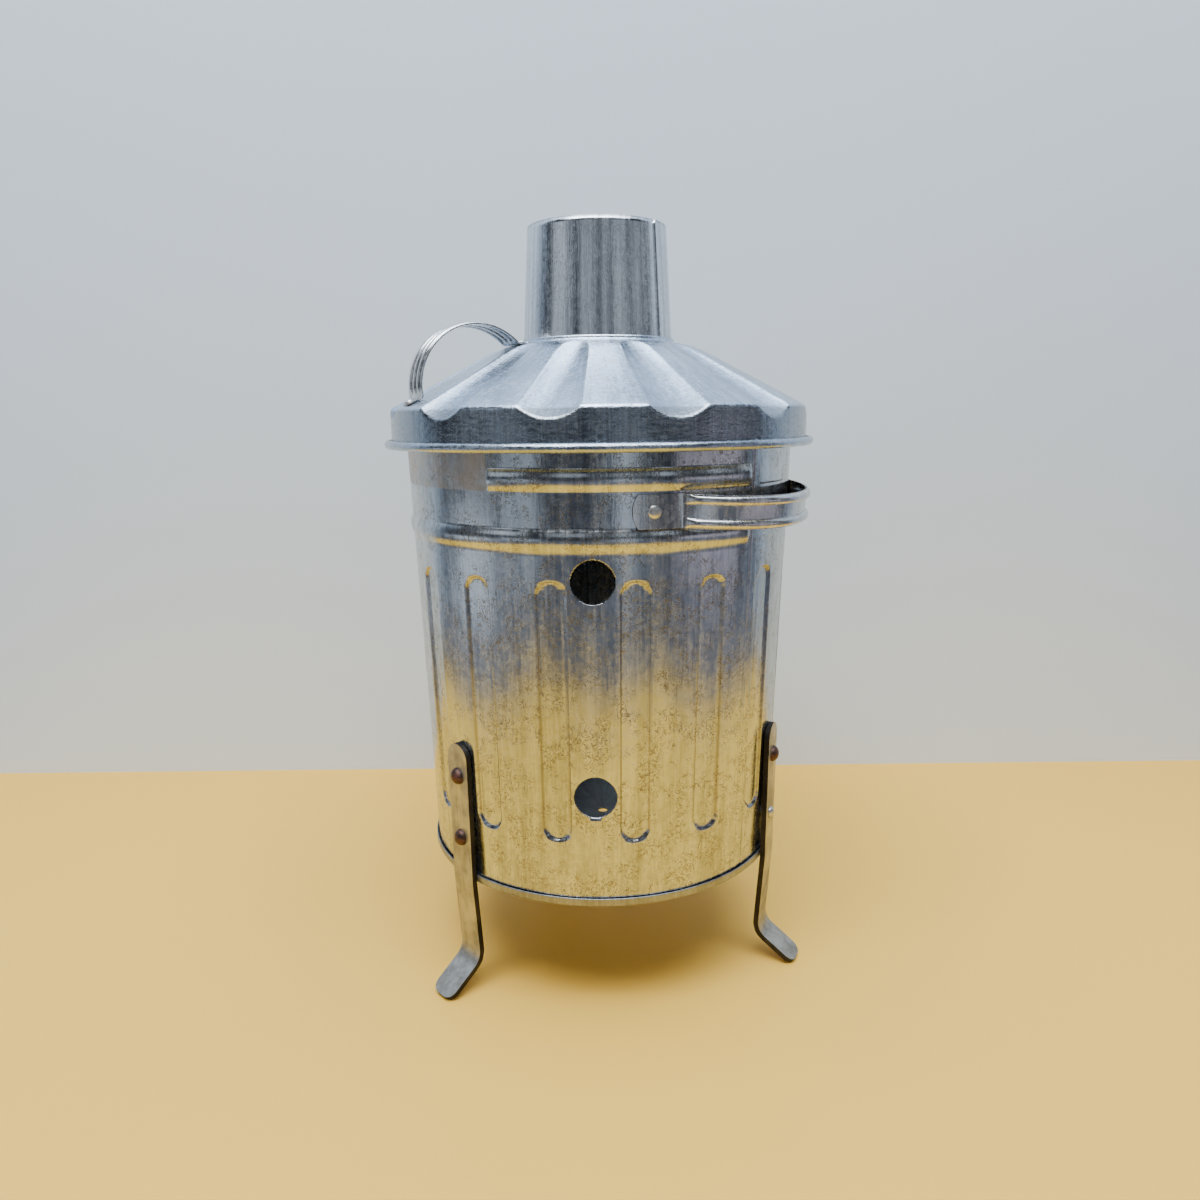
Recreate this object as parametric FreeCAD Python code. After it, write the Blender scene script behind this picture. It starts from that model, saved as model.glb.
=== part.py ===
import FreeCAD, Part
import math
import os
from FreeCAD import Vector

# A small galvanised smoker and incinerator bin: a fluted, tapered bin on three strap legs, closed by
# a lift-off conical lid with a short chimney.  Millimetres.  The origin is on the floor under the
# bin's axis, +Z is up and the front faces -Y.  An azimuth is an angle from the front towards +X.
# Pieces are drawn at azimuth 0 or as a profile in the XZ plane, then turned about Z into place.

# ---- driving dimensions -------------------------------------------------------------------------
SHEET = 0.8                     # thickness of the bin's and the lid's sheet

BIN_BOTTOM_Z = 82.0             # where the wall comes out of the chime
BIN_BOTTOM_RADIUS = 122.25      # outer radius there
BIN_TAPER = 0.03125             # growth of the radius per millimetre of height
RIM_WIRE_RADIUS = 1.8
RIM_TOP_Z = 380.9

FLUTE_COUNT = 16
FLUTE_FIRST = 9.25              # azimuth of one flute
FLUTE_LOW_Z, FLUTE_HIGH_Z = 120.0, 286.0
FLUTE_WIDTH = 19.6
FLUTE_DEPTH = 1.6
FLUTE_EDGE_RUN = 1.8            # how far the sloped edge of a flute spreads

SEAM_START, SEAM_END = 45.3, 48.4      # azimuths of the folded vertical seam
SEAM_PROUD = 0.9
BEAD_PROUD = 1.8
BEAD_HEIGHT = 13.0
UPPER_BEAD_Z, LOWER_BEAD_Z = 343.7, 309.3
BEADS = {                       # height of each bead, and the azimuths between which it runs
    UPPER_BEAD_Z: [(92.0, 258.0), (329.7, 404.9)],
    LOWER_BEAD_Z: [(92.0, 404.9)],
}

AIR_HOLE_RADIUS = 13.4
AIR_HOLE_AZIMUTHS = [-2.0, 88.0, 178.0, 268.0]
AIR_HOLE_HEIGHTS = [151.0, 285.0]

BASE_FLOOR_Z = 86.5             # top face of the recessed base
CHIME_BOTTOM_Z, CHIME_TOP_Z = 77.6, 83.0
CHIME_RADIUS = 124.0
BASE_HOLE_RADIUS = 3.5

LEG_WIDTH, LEG_THICKNESS = 21.0, 3.5
LEG_AZIMUTHS = {"front_left": -47.0, "right": 65.5, "rear": 200.5}
LEG_TOP_Z = 173.0
LEG_RIVET_HEIGHTS = {"upper": 151.0, "lower": 108.0}

HANDLE_SHEET = 1.1
SIDE_HANDLE_AZIMUTHS = {"right": 50.0, "left": 230.0}
SIDE_HANDLE_Z = 325.4
SIDE_ARCH_CENTRE = 75.0         # distance of the arch's centre from the bin's axis
SIDE_ARCH_RADIUS = 74.8         # to the middle of the strap's web
SIDE_ARCH_DROOP = 4.5           # degrees by which the arch sags from level
SIDE_ARCH_HINGE = 115.3         # distance of the line about which it sags from the bin's axis
SIDE_TAB_HEIGHT = 21.4
SIDE_TAB_END = 41.8             # azimuths of a tab's two ends, counted from the arch's middle
SIDE_TAB_START = 27.2
SIDE_RIVET_OFFSET = 36.2
TAB_END_RADIUS = 17.0

CONE_SLOPE = math.radians(28.0)
LID_RADIUS, LID_CORNER_Z = 140.9, 384.9
LID_SHOULDER_RADIUS = 66.0
LID_TOP_SLOPE = math.radians(8.0)
LID_NECK_RADIUS, LID_NECK_TOP_Z = 51.3, 429.3
LID_WIRE_Z, LID_WIRE_RADIUS = 362.1, 2.0

LID_FLUTE_COUNT = 12
LID_FLUTE_FIRST = -11.3
LID_FLUTE_HALF_WIDTH = math.radians(7.3)
LID_FLUTE_DEPTH = math.radians(2.08)

CHIMNEY_SHEET = 0.7
CHIMNEY_TOP_Z, CHIMNEY_TOP_RADIUS = 501.4, 46.2
CHIMNEY_BASE_Z, CHIMNEY_BASE_RADIUS = 427.6, 50.3
CHIMNEY_FLANGE_RADIUS, CHIMNEY_FLANGE_Z = 54.3, 424.7
CHIMNEY_SEAM_START, CHIMNEY_SEAM_END = 52.3, 57.0
CHIMNEY_SEAM_PROUD = 0.9

LID_HANDLE_AZIMUTH = -60.0
LID_HANDLE_WIDTH, LID_TAB_WIDTH = 24.0, 24.8
LID_ARCH_RADIUS = 38.7
LID_ARCH_CENTRE = Vector(0, -92.0, 397.6)
LID_TABS = {                    # radii between which each tab lies on the lid, and of its rivet
    "inner": (54.2, 66.9, 58.2),
    "outer": (128.4, 138.6, 135.0),
}

PLAIN_AZIMUTH = 69.5            # a direction with no flute, hole, rib or rivet on bin or lid
UP = Vector(0, 0, 1)
ORIGIN = Vector(0, 0, 0)


# ---- helpers ------------------------------------------------------------------------------------
def turned(shape, azimuth):
    """A copy of a shape drawn at azimuth 0, turned to another azimuth."""
    copy = shape.copy()
    copy.rotate(ORIGIN, UP, azimuth)
    return copy


def from_profile_plane(shape):
    """A shape drawn in the XZ plane with x as radius, turned to azimuth 0."""
    return turned(shape, -90)


def strip_side(points, bends, shift):
    """Edges of one side of a bent strip in the XZ plane, `shift` to the left of its centre line."""
    corners = [Vector(u, 0, v) for u, v in points]
    headings = [(b - a).normalize() for a, b in zip(corners, corners[1:])]
    lefts = [Vector(-h.z, 0, h.x) for h in headings]
    start = corners[0] + lefts[0] * shift
    edges = []
    for index, bend in enumerate(bends):
        before, after = headings[index], headings[index + 1]
        turn = math.atan2(before.x * after.z - before.z * after.x, before.dot(after))
        side = 1 if turn > 0 else -1
        corner = corners[index + 1]
        centre = corner - before * (bend * math.tan(abs(turn) / 2)) + lefts[index] * (bend * side)
        radius = bend - side * shift
        first = centre - lefts[index] * (side * radius)
        last = centre - lefts[index + 1] * (side * radius)
        middle = centre + (corner - centre).normalize() * radius
        edges.append(Part.makeLine(start, first))
        edges.append(Part.Arc(first, middle, last).toShape())
        start = last
    edges.append(Part.makeLine(start, corners[-1] + lefts[-1] * shift))
    return edges


def ends(edges):
    return edges[0].Vertexes[0].Point, edges[-1].Vertexes[-1].Point


def face_of(edges):
    return Part.Face(Part.Wire(Part.sortEdges(edges)[0]))


def strip_face(points, bends, thickness):
    """A strip of sheet seen edge-on in the XZ plane: corner points, and a bend radius at each."""
    left = strip_side(points, bends, thickness / 2)
    right = strip_side(points, bends, -thickness / 2)
    caps = [Part.makeLine(a, b) for a, b in zip(ends(left), ends(right))]
    return face_of(left + right + caps)


def polygon_face(points):
    corners = [Vector(u, 0, v) for u, v in points]
    return Part.Face(Part.makePolygon(corners + corners[:1]))


def spun(face, start=PLAIN_AZIMUTH, end=PLAIN_AZIMUTH + 360.0):
    """The solid that a profile in the XZ plane sweeps from one azimuth to another.  A full turn
    starts and ends where no flute, hole or rib crosses the joint between its faces."""
    placed = turned(face, start - 90)
    return placed.revolve(ORIGIN, UP, end - start)


def curl_points(centre, z, radius, rise):
    """Corners of a strip that rolls outward round a wire, over it (rise 1) or under it (rise -1)."""
    return [(centre - radius, z + rise * radius), (centre + radius, z + rise * radius),
            (centre + radius, z - rise * radius), (centre, z - rise * radius)]


def wire_ring(radius, z, wire_radius):
    return Part.makeTorus(radius, wire_radius, Vector(0, 0, z), UP)


def radial_bar(radius, azimuth, z, near, far):
    """A round bar lying along a radius of the bin."""
    bar = Part.makeCylinder(radius, far - near, Vector(0, -near, z), Vector(0, -1, 0))
    return turned(bar, azimuth)


def fused(first, *others):
    """One solid of several that overlap, with the seams between their faces removed."""
    return first.multiFuse(list(others)).removeSplitter()


def bin_radius(z):
    """The bin wall's outer radius at a height."""
    return BIN_BOTTOM_RADIUS + BIN_TAPER * (z - BIN_BOTTOM_Z)


def cone_z(radius):
    """Height of the lid's outer surface, over its cone or over the flatter top inside it."""
    shoulder_z = LID_CORNER_Z + (LID_RADIUS - LID_SHOULDER_RADIUS) * math.tan(CONE_SLOPE)
    if radius < LID_SHOULDER_RADIUS:
        return shoulder_z + (LID_SHOULDER_RADIUS - radius) * math.tan(LID_TOP_SLOPE)
    return LID_CORNER_Z + (LID_RADIUS - radius) * math.tan(CONE_SLOPE)


def rivet(azimuth, z, outer, inner, head, height, shank, tail, tail_height):
    """A rivet along a radius: a domed head from radius `outer` out and a flat tail from `inner` in.
    `head`, `shank` and `tail` are radii.  The dome is an arc over the head's edge."""
    rim = Vector(outer, 0, head)
    crown = Vector(outer + height, 0, 0)
    dome_radius = (head ** 2 + height ** 2) / (2 * height)
    half_way = math.asin(head / dome_radius) / 2
    dome_centre = outer + height - dome_radius
    middle = Vector(dome_centre + dome_radius * math.cos(half_way), 0, dome_radius * math.sin(half_way))
    corners = [crown, Vector(inner - tail_height, 0, 0), Vector(inner - tail_height, 0, tail),
               Vector(inner, 0, tail), Vector(inner, 0, shank), Vector(outer, 0, shank), rim]
    edges = [Part.makeLine(a, b) for a, b in zip(corners, corners[1:])]
    edges.append(Part.Arc(rim, middle, crown).toShape())
    solid = face_of(edges).revolve(ORIGIN, Vector(1, 0, 0), 360)
    solid.translate(Vector(0, 0, z))
    return turned(from_profile_plane(solid), azimuth)


def pocket(azimuth, grow):
    """The hollow of one flute as a solid; `grow` is the sheet's thickness for the wall's inside.
    It is a tapered slot with round ends, laid on the bin's sloping wall."""
    slope = math.atan2(FLUTE_EDGE_RUN, FLUTE_DEPTH)
    side_shift = grow / math.cos(slope)
    clear = 1.5
    outlines = []
    for depth in (-clear, FLUTE_DEPTH + grow):
        half = FLUTE_WIDTH / 2 - depth * math.tan(slope) + side_shift
        reach = (FLUTE_HIGH_Z - FLUTE_LOW_Z - FLUTE_WIDTH) / 2
        left, right = Vector(-half, depth, 0), Vector(half, depth, 0)
        top, bottom = Vector(0, 0, reach), Vector(0, 0, -reach)
        outlines.append(Part.Wire([
            Part.makeLine(left + bottom, left + top),
            Part.Arc(left + top, Vector(0, depth, reach + half), right + top).toShape(),
            Part.makeLine(right + top, right + bottom),
            Part.Arc(right + bottom, Vector(0, depth, -reach - half), left + bottom).toShape(),
        ]))
    solid = Part.makeLoft(outlines, True, True)
    middle_z = (FLUTE_LOW_Z + FLUTE_HIGH_Z) / 2
    solid.rotate(ORIGIN, Vector(1, 0, 0), math.degrees(math.atan(BIN_TAPER)))
    solid.translate(Vector(0, -bin_radius(middle_z), middle_z))
    return turned(solid, azimuth)


# ---- the bin ------------------------------------------------------------------------------------
RIM_CURL_RADIUS = RIM_WIRE_RADIUS + 0.05 + SHEET / 2        # to the middle of the rolled sheet
RIM_CURL_Z = RIM_TOP_Z - RIM_CURL_RADIUS - SHEET / 2
WALL_LOW_Z, WALL_HIGH_Z = CHIME_TOP_Z + 1, RIM_CURL_Z - 1   # the tapered part of the wall
FLUTED_TOP_Z = 300.5            # where the wall with flutes and air holes meets the ribbed wall
RIM_CURL_CENTRE = bin_radius(WALL_HIGH_Z) - SHEET / 2 + RIM_CURL_RADIUS
SEAM_TOP_Z = RIM_CURL_Z - RIM_CURL_RADIUS - 1


def holes_in_wall():
    """Bars to cut the air holes and the rivet holes of the legs and side handles."""
    bars = [radial_bar(AIR_HOLE_RADIUS, azimuth, z, 100, 150)
            for azimuth in AIR_HOLE_AZIMUTHS for z in AIR_HOLE_HEIGHTS]
    bars += [radial_bar(LEG_SHANK + 0.1, azimuth, z, 110, 150)
             for azimuth in LEG_AZIMUTHS.values() for z in LEG_RIVET_HEIGHTS.values()]
    bars += [radial_bar(HANDLE_SHANK + 0.1, azimuth + side * SIDE_RIVET_OFFSET, SIDE_HANDLE_Z, 110, 150)
             for azimuth in SIDE_HANDLE_AZIMUTHS.values() for side in (-1, 1)]
    return bars


def fluted_sector(azimuth):
    """One flute with the wall halfway to its neighbours, as the outside block less the inside."""
    half = 180 / FLUTE_COUNT
    skins = []
    for inset, beyond in ((0, 0), (SHEET, 1)):
        low, high = WALL_LOW_Z - beyond, FLUTED_TOP_Z + beyond
        block = spun(polygon_face([(100, low), (bin_radius(low) - inset, low),
                                   (bin_radius(high) - inset, high), (100, high)]),
                     -half - beyond, half + beyond)
        skins.append(block.cut(pocket(0, inset)))
    core = Part.makeCylinder(105, 400)
    return turned(skins[0].cut(skins[1]).cut(core), azimuth)


def ribbed_side(inset, beads):
    """One side of the wall above the flutes, bottom to top, with a rounded rib at each bead."""
    point = Vector(bin_radius(FLUTED_TOP_Z) - inset, 0, FLUTED_TOP_Z)
    edges = []
    for z in sorted(beads):
        low, high = z - BEAD_HEIGHT / 2, z + BEAD_HEIGHT / 2
        foot = Vector(bin_radius(low) - inset, 0, low)
        head = Vector(bin_radius(high) - inset, 0, high)
        crest = Vector(bin_radius(z) + BEAD_PROUD - inset, 0, z)
        edges.append(Part.makeLine(point, foot))
        edges.append(Part.Arc(foot, crest, head).toShape())
        point = head
    edges.append(Part.makeLine(point, Vector(bin_radius(WALL_HIGH_Z) - inset, 0, WALL_HIGH_Z)))
    return edges


def beads_at(azimuth, margin):
    """Heights of the beads that pass an azimuth, leaving out their last `margin` degrees."""
    return [z for z, spans in BEADS.items()
            if any(start + margin < azimuth < end - margin for start, end in spans)]


def ribbed_band():
    """The wall above the flutes, one solid for each stretch in which nothing starts or ends.
    Each bead is hollow behind and closed by a wall of sheet at its ends."""
    end_wall = math.degrees(SHEET / bin_radius(LOWER_BEAD_Z))
    first = min(start for spans in BEADS.values() for start, end in spans)
    limits = {first, first + 360}
    for spans in BEADS.values():
        for start, end in spans:
            limits |= {start, start + end_wall, end - end_wall, end}
    limits = sorted(limits)
    stretches = []
    for start, end in zip(limits, limits[1:]):
        middle = (start + end) / 2
        outside = ribbed_side(0, beads_at(middle, 0))
        inside = ribbed_side(SHEET, beads_at(middle, end_wall))
        caps = [Part.makeLine(a, b) for a, b in zip(ends(outside), ends(inside))]
        stretches.append(spun(face_of(outside + inside + caps), start, end))
    return stretches


def bin_shell():
    """The bin's wall: tapered sheet with a wired rim, ribs, a folded seam, flutes and air holes."""
    middle = SHEET / 2
    low_radius = bin_radius(WALL_LOW_Z)
    foot_z = CHIME_BOTTOM_Z + SHEET + 0.2 + middle
    foot = spun(strip_face([(low_radius + 0.7, foot_z), (low_radius - middle, foot_z),
                            (low_radius - middle, WALL_LOW_Z)], [0.6], SHEET))
    neck = [(bin_radius(WALL_HIGH_Z) - middle, WALL_HIGH_Z)]
    rim = spun(strip_face(neck + curl_points(RIM_CURL_CENTRE, RIM_CURL_Z, RIM_CURL_RADIUS, 1),
                          [0.98 * RIM_CURL_RADIUS] * 3, SHEET))
    seam = spun(polygon_face([
        (low_radius - middle, WALL_LOW_Z), (low_radius + SEAM_PROUD, WALL_LOW_Z),
        (bin_radius(SEAM_TOP_Z) + SEAM_PROUD, SEAM_TOP_Z), (bin_radius(SEAM_TOP_Z) - middle, SEAM_TOP_Z),
    ]), SEAM_START, SEAM_END)
    flutes = [fluted_sector(FLUTE_FIRST + 360 / FLUTE_COUNT * index) for index in range(FLUTE_COUNT)]
    wall = [piece.cut(holes_in_wall()) for piece in flutes + ribbed_band()]
    return foot.multiFuse(wall + [rim, seam])


def bin_rim_wire():
    return wire_ring(RIM_CURL_CENTRE, RIM_CURL_Z, RIM_WIRE_RADIUS)


def base_pan():
    """The recessed base with the chime that hooks round the foot of the wall."""
    middle = SHEET / 2
    hook = CHIME_RADIUS - middle
    upright = bin_radius(CHIME_BOTTOM_Z) - SHEET - 0.9
    face = strip_face([(hook, CHIME_TOP_Z), (hook, CHIME_BOTTOM_Z + middle),
                       (upright, CHIME_BOTTOM_Z + middle), (upright, BASE_FLOOR_Z - middle),
                       (BASE_HOLE_RADIUS, BASE_FLOOR_Z - middle)], [0.9, 0.5, 1.6], SHEET)
    return spun(face)


# ---- the legs -----------------------------------------------------------------------------------
LEG_HEAD, LEG_HEAD_HEIGHT, LEG_SHANK, LEG_TAIL = 5.5, 4.2, 3.1, 5.0      # of its rivets
LEG_INNER_TOP = 125.2           # radius of the leg's inner face at its top
LEG_INNER_CHIME = 124.1         # and where it passes the chime
ANKLE = (121.8, 21.0)           # radius and height of the corner above the foot
TOE_RADIUS, TOE_Z = 149.6, 0.8
TOE_ROUND = 7.0
LEG_BENDS = [30.0, 14.0]        # bend radii at the chime and at the ankle


def leg(azimuth):
    """A bent strap: straight down the wall, a shin that leans in, and a foot sloping to the floor."""
    middle = LEG_THICKNESS / 2
    points = [(LEG_INNER_TOP + middle, LEG_TOP_Z), (LEG_INNER_CHIME + middle, CHIME_BOTTOM_Z),
              ANKLE, (TOE_RADIUS, TOE_Z)]
    strap = strip_face(points, LEG_BENDS, LEG_THICKNESS).extrude(Vector(0, LEG_WIDTH, 0))
    strap.translate(Vector(0, -LEG_WIDTH / 2, 0))
    top_round = LEG_WIDTH / 2 - 1.0
    crown = [edge for edge in strap.Edges if is_edge_along(edge, LEG_TOP_Z, LEG_INNER_TOP + middle)]
    strap = strap.makeFillet(top_round, crown)
    toe = [edge for edge in strap.Edges if is_edge_along(edge, TOE_Z, TOE_RADIUS)]
    strap = strap.makeFillet(TOE_ROUND, toe)
    floor = Part.makeBox(400, 400, 50, Vector(-200, -200, -50))
    strap = strap.cut(floor)
    for z in LEG_RIVET_HEIGHTS.values():
        strap = strap.cut(Part.makeCylinder(LEG_SHANK + 0.1, 40, Vector(110, 0, z), Vector(1, 0, 0)))
    return turned(from_profile_plane(strap), azimuth)


def is_edge_along(edge, z, radius):
    """Whether an edge is one of the four short ones through the strap's thickness at that end."""
    centre = edge.CenterOfMass
    near = abs(centre.z - z) < 0.3 and abs(centre.x - radius) < 0.3
    return near and abs(edge.Length - LEG_THICKNESS) < 0.01


def leg_rivet(azimuth, z):
    fraction = (z - CHIME_BOTTOM_Z) / (LEG_TOP_Z - CHIME_BOTTOM_Z)
    inner_face = LEG_INNER_CHIME + fraction * (LEG_INNER_TOP - LEG_INNER_CHIME)
    outer = inner_face + LEG_THICKNESS + 0.08
    inner = bin_radius(z) - SHEET - 0.3
    return rivet(azimuth, z, outer, inner, LEG_HEAD, LEG_HEAD_HEIGHT, LEG_SHANK, LEG_TAIL, 1.6)


# ---- handles ------------------------------------------------------------------------------------
HANDLE_HEAD, HANDLE_SHANK, HANDLE_TAIL = 4.0, 2.3, 4.2                  # of a side handle's rivets
SIDE_TAB_RADIUS = 130.15        # inner radius of a side handle's tabs
ARCH_END = 118.0                # angle from its top to which an arch runs before it is trimmed
RIB_FADE = 8.0                  # angle in which a rib slopes away
SIDE_RIB_REACHES = (-49.5, 49.5)
LID_RIB_REACHES = (-34.0, 86.0)


def arch(section, radius, start, end):
    """A strap's section, drawn in the XZ plane across the strap, swept round a circle whose top is
    at the section.  The arch stands along the Y axis over its centre, the origin."""
    lifted = section.copy()
    lifted.translate(Vector(0, 0, radius))
    lifted.rotate(ORIGIN, Vector(1, 0, 0), start)
    return lifted.revolve(ORIGIN, Vector(1, 0, 0), end - start)


def ribbed_arch(outline, bend, thickness, radius, reaches):
    """An arched strap with pressed ribs.  They are whole between the two `reaches`, angles from the
    arch's top, and slope away beyond them, so that the strap's feet are flat."""
    skin, edge = thickness / 2, outline[-1][0]
    crests = [(x, z + skin) for x, z in outline]
    flats = [(x, skin) for x, z in outline]
    underside = [(edge, -skin), (-edge, -skin)]
    flat_section = polygon_face([(-edge, skin), (edge, skin)] + underside)
    pieces = [arch(strip_face(outline, [bend] * (len(outline) - 2), thickness), radius, *reaches)]
    for side, reach in zip((-1, 1), reaches):
        wires = []
        for points, angle in ((crests, reach), (flats, reach + side * RIB_FADE)):
            wire = polygon_face(points + underside).OuterWire
            wire.translate(Vector(0, 0, radius))
            wire.rotate(ORIGIN, Vector(1, 0, 0), angle)
            wires.append(wire)
        pieces.append(Part.makeLoft(wires, True, True))
        pieces.append(arch(flat_section, radius, reach + side * RIB_FADE, side * ARCH_END))
    return pieces[0].multiFuse(pieces[1:])


def side_handle(azimuth):
    """A pressed strap with a round rib along each edge, arched clear of the wall, and a flat tab at
    each end that lies on the wall between the two beads."""
    rib, web, edge = 2.4, 4.2, 9.2
    outline = [(-edge, 0.2), (-edge + 0.7, rib), (-web - 1.0, rib), (-web, 0), (web, 0),
               (web + 1.0, rib), (edge - 0.7, rib), (edge, 0.2)]
    strap = ribbed_arch(outline, 1.1, HANDLE_SHEET, SIDE_ARCH_RADIUS, SIDE_RIB_REACHES)
    strap.rotate(ORIGIN, Vector(0, 1, 0), 90)
    strap.rotate(ORIGIN, UP, -90)
    strap.translate(Vector(0, -SIDE_ARCH_CENTRE, SIDE_HANDLE_Z))
    strap.rotate(Vector(0, -SIDE_ARCH_HINGE, SIDE_HANDLE_Z), Vector(1, 0, 0), SIDE_ARCH_DROOP)
    middle_of_tab = SIDE_TAB_RADIUS + HANDLE_SHEET / 2
    strap = strap.cut(Part.makeCylinder(middle_of_tab, 100, Vector(0, 0, SIDE_HANDLE_Z - 50)))
    low, high = SIDE_HANDLE_Z - SIDE_TAB_HEIGHT / 2, SIDE_HANDLE_Z + SIDE_TAB_HEIGHT / 2
    outer = SIDE_TAB_RADIUS + HANDLE_SHEET
    section = polygon_face([(SIDE_TAB_RADIUS, low), (outer, low),
                            (outer, high), (SIDE_TAB_RADIUS, high)])
    round_azimuth = SIDE_TAB_END - math.degrees(TAB_END_RADIUS / SIDE_TAB_RADIUS)
    width = math.radians(round_azimuth - SIDE_TAB_START) * outer + 2
    block = Part.makeBox(width, 60, 60, Vector(-width / 2, -160, SIDE_HANDLE_Z - 30))
    for side in (-1, 1):
        tab = spun(section, *sorted((side * SIDE_TAB_START, side * SIDE_TAB_END)))
        round_end = radial_bar(TAB_END_RADIUS, side * round_azimuth, SIDE_HANDLE_Z, 100, 160)
        straight = turned(block, side * (SIDE_TAB_START + round_azimuth) / 2)
        tab = tab.common(fused(round_end, straight))
        tab = tab.cut(radial_bar(HANDLE_SHANK + 0.1, side * SIDE_RIVET_OFFSET, SIDE_HANDLE_Z, 100, 160))
        strap = strap.fuse(tab)
    return turned(strap, azimuth)


def side_handle_rivet(azimuth):
    inner = bin_radius(SIDE_HANDLE_Z) - SHEET - 0.25
    outer = SIDE_TAB_RADIUS + HANDLE_SHEET
    return rivet(azimuth, SIDE_HANDLE_Z, outer, inner, HANDLE_HEAD, 1.6, HANDLE_SHANK, HANDLE_TAIL, 1.0)


# ---- the lid ------------------------------------------------------------------------------------
LID_CURL_RADIUS = LID_WIRE_RADIUS + 0.05 + SHEET / 2
LID_CURL_CENTRE = LID_RADIUS - SHEET / 2 + LID_CURL_RADIUS


def lid_profile():
    """Centre line of the lid's sheet from the neck out and down to the wire, and its bends."""
    middle = SHEET / 2
    drop = middle / math.cos(CONE_SLOPE)
    skirt = LID_RADIUS - middle
    neck_z = cone_z(LID_NECK_RADIUS) - middle
    points = [(LID_NECK_RADIUS, LID_NECK_TOP_Z), (LID_NECK_RADIUS, neck_z),
              (LID_SHOULDER_RADIUS, cone_z(LID_SHOULDER_RADIUS) - middle),
              (skirt, cone_z(skirt) - drop), (LID_CURL_CENTRE - LID_CURL_RADIUS, LID_WIRE_Z)]
    return points, [0.7, 9.0, 3.1]


def filled_lid(inset, beyond):
    """The lid's outside, or its inside if `inset` is the sheet's thickness, as one solid block with
    its flutes.  `beyond` carries the block past the neck and the hem."""
    points, bends = lid_profile()
    edges = strip_side(points, bends, SHEET / 2 - inset)
    start, end = ends(edges)
    top, bottom = start + UP * beyond, end - UP * beyond
    closing = [top, Vector(0, 0, top.z), Vector(0, 0, bottom.z), bottom]
    closing = ([start] + closing + [end]) if beyond else closing
    block = spun(face_of(edges + [Part.makeLine(a, b) for a, b in zip(closing, closing[1:])]))
    throat = Part.makeCylinder(LID_SHOULDER_RADIUS - 9.5 + inset, 100, Vector(0, 0, LID_CORNER_Z - 20))
    azimuths = [LID_FLUTE_FIRST + 360 / LID_FLUTE_COUNT * index for index in range(LID_FLUTE_COUNT)]
    return block.cut([lid_flute(azimuth, inset).cut(throat) for azimuth in azimuths])


def lid_flute(azimuth, grow):
    """The trough of one radial flute: part of a round cone with its point on the lid's own apex."""
    slope, deep = CONE_SLOPE, CONE_SLOPE + LID_FLUTE_DEPTH
    across = math.cos(slope) * math.cos(LID_FLUTE_HALF_WIDTH)
    dip = math.atan2(across - math.cos(deep), math.sin(deep) - math.sin(slope))
    half_angle = deep - dip
    apex = Vector(0, 0, cone_z(LID_SHOULDER_RADIUS) + LID_SHOULDER_RADIUS * math.tan(slope))
    direction = Vector(0, -math.cos(dip), -math.sin(dip))
    near, far = 30.0, 190.0
    wider = grow / math.cos(half_angle)
    cone = Part.makeCone(near * math.tan(half_angle) + wider, far * math.tan(half_angle) + wider,
                         far - near, apex + direction * near, direction)
    return turned(cone, azimuth)


def lid_shell():
    """The pressed conical lid: neck, fluted cone, rounded edge and a skirt with a wired hem."""
    shell = filled_lid(0, 0).cut(filled_lid(SHEET, 5))
    start = [(LID_CURL_CENTRE - LID_CURL_RADIUS, LID_WIRE_Z)]
    hem = spun(strip_face(start + curl_points(LID_CURL_CENTRE, LID_WIRE_Z, LID_CURL_RADIUS, -1),
                          [0.98 * LID_CURL_RADIUS] * 3, SHEET))
    shell = fused(shell, hem)
    return shell.cut(lid_handle_holes())


def lid_rim_wire():
    return wire_ring(LID_CURL_CENTRE, LID_WIRE_Z, LID_WIRE_RADIUS)


def chimney():
    """A tapered tube with a folded lap seam, held under the lid's neck by an out-turned flange."""
    middle = CHIMNEY_SHEET / 2
    taper = (CHIMNEY_BASE_RADIUS - CHIMNEY_TOP_RADIUS) / (CHIMNEY_TOP_Z - CHIMNEY_BASE_Z)
    low_radius = CHIMNEY_TOP_RADIUS + taper * (CHIMNEY_TOP_Z - CHIMNEY_FLANGE_Z)
    tube = spun(strip_face([(CHIMNEY_FLANGE_RADIUS, CHIMNEY_FLANGE_Z),
                            (low_radius - middle, CHIMNEY_FLANGE_Z),
                            (CHIMNEY_TOP_RADIUS - middle, CHIMNEY_TOP_Z)], [1.2], CHIMNEY_SHEET))
    seam_low = LID_NECK_TOP_Z + 0.3
    low = CHIMNEY_TOP_RADIUS + taper * (CHIMNEY_TOP_Z - seam_low)
    lap = spun(polygon_face([(low - 0.3, seam_low), (low + CHIMNEY_SEAM_PROUD, seam_low),
                             (CHIMNEY_TOP_RADIUS + CHIMNEY_SEAM_PROUD, CHIMNEY_TOP_Z),
                             (CHIMNEY_TOP_RADIUS - 0.3, CHIMNEY_TOP_Z)]),
               CHIMNEY_SEAM_START, CHIMNEY_SEAM_END)
    return fused(tube, lap)


# ---- the lid's handle ---------------------------------------------------------------------------
LID_RIVET_HEAD, LID_RIVET_SHANK, LID_RIVET_TAIL = 3.3, 1.6, 3.0
LID_STRAP_THICKNESS = 0.9


def tab_frame(radius):
    """Where a tab lies on the lid at azimuth 0: a point on the surface and the slope there."""
    slope = LID_TOP_SLOPE if radius < LID_SHOULDER_RADIUS else CONE_SLOPE
    return Vector(0, -radius, cone_z(radius)), slope


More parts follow.
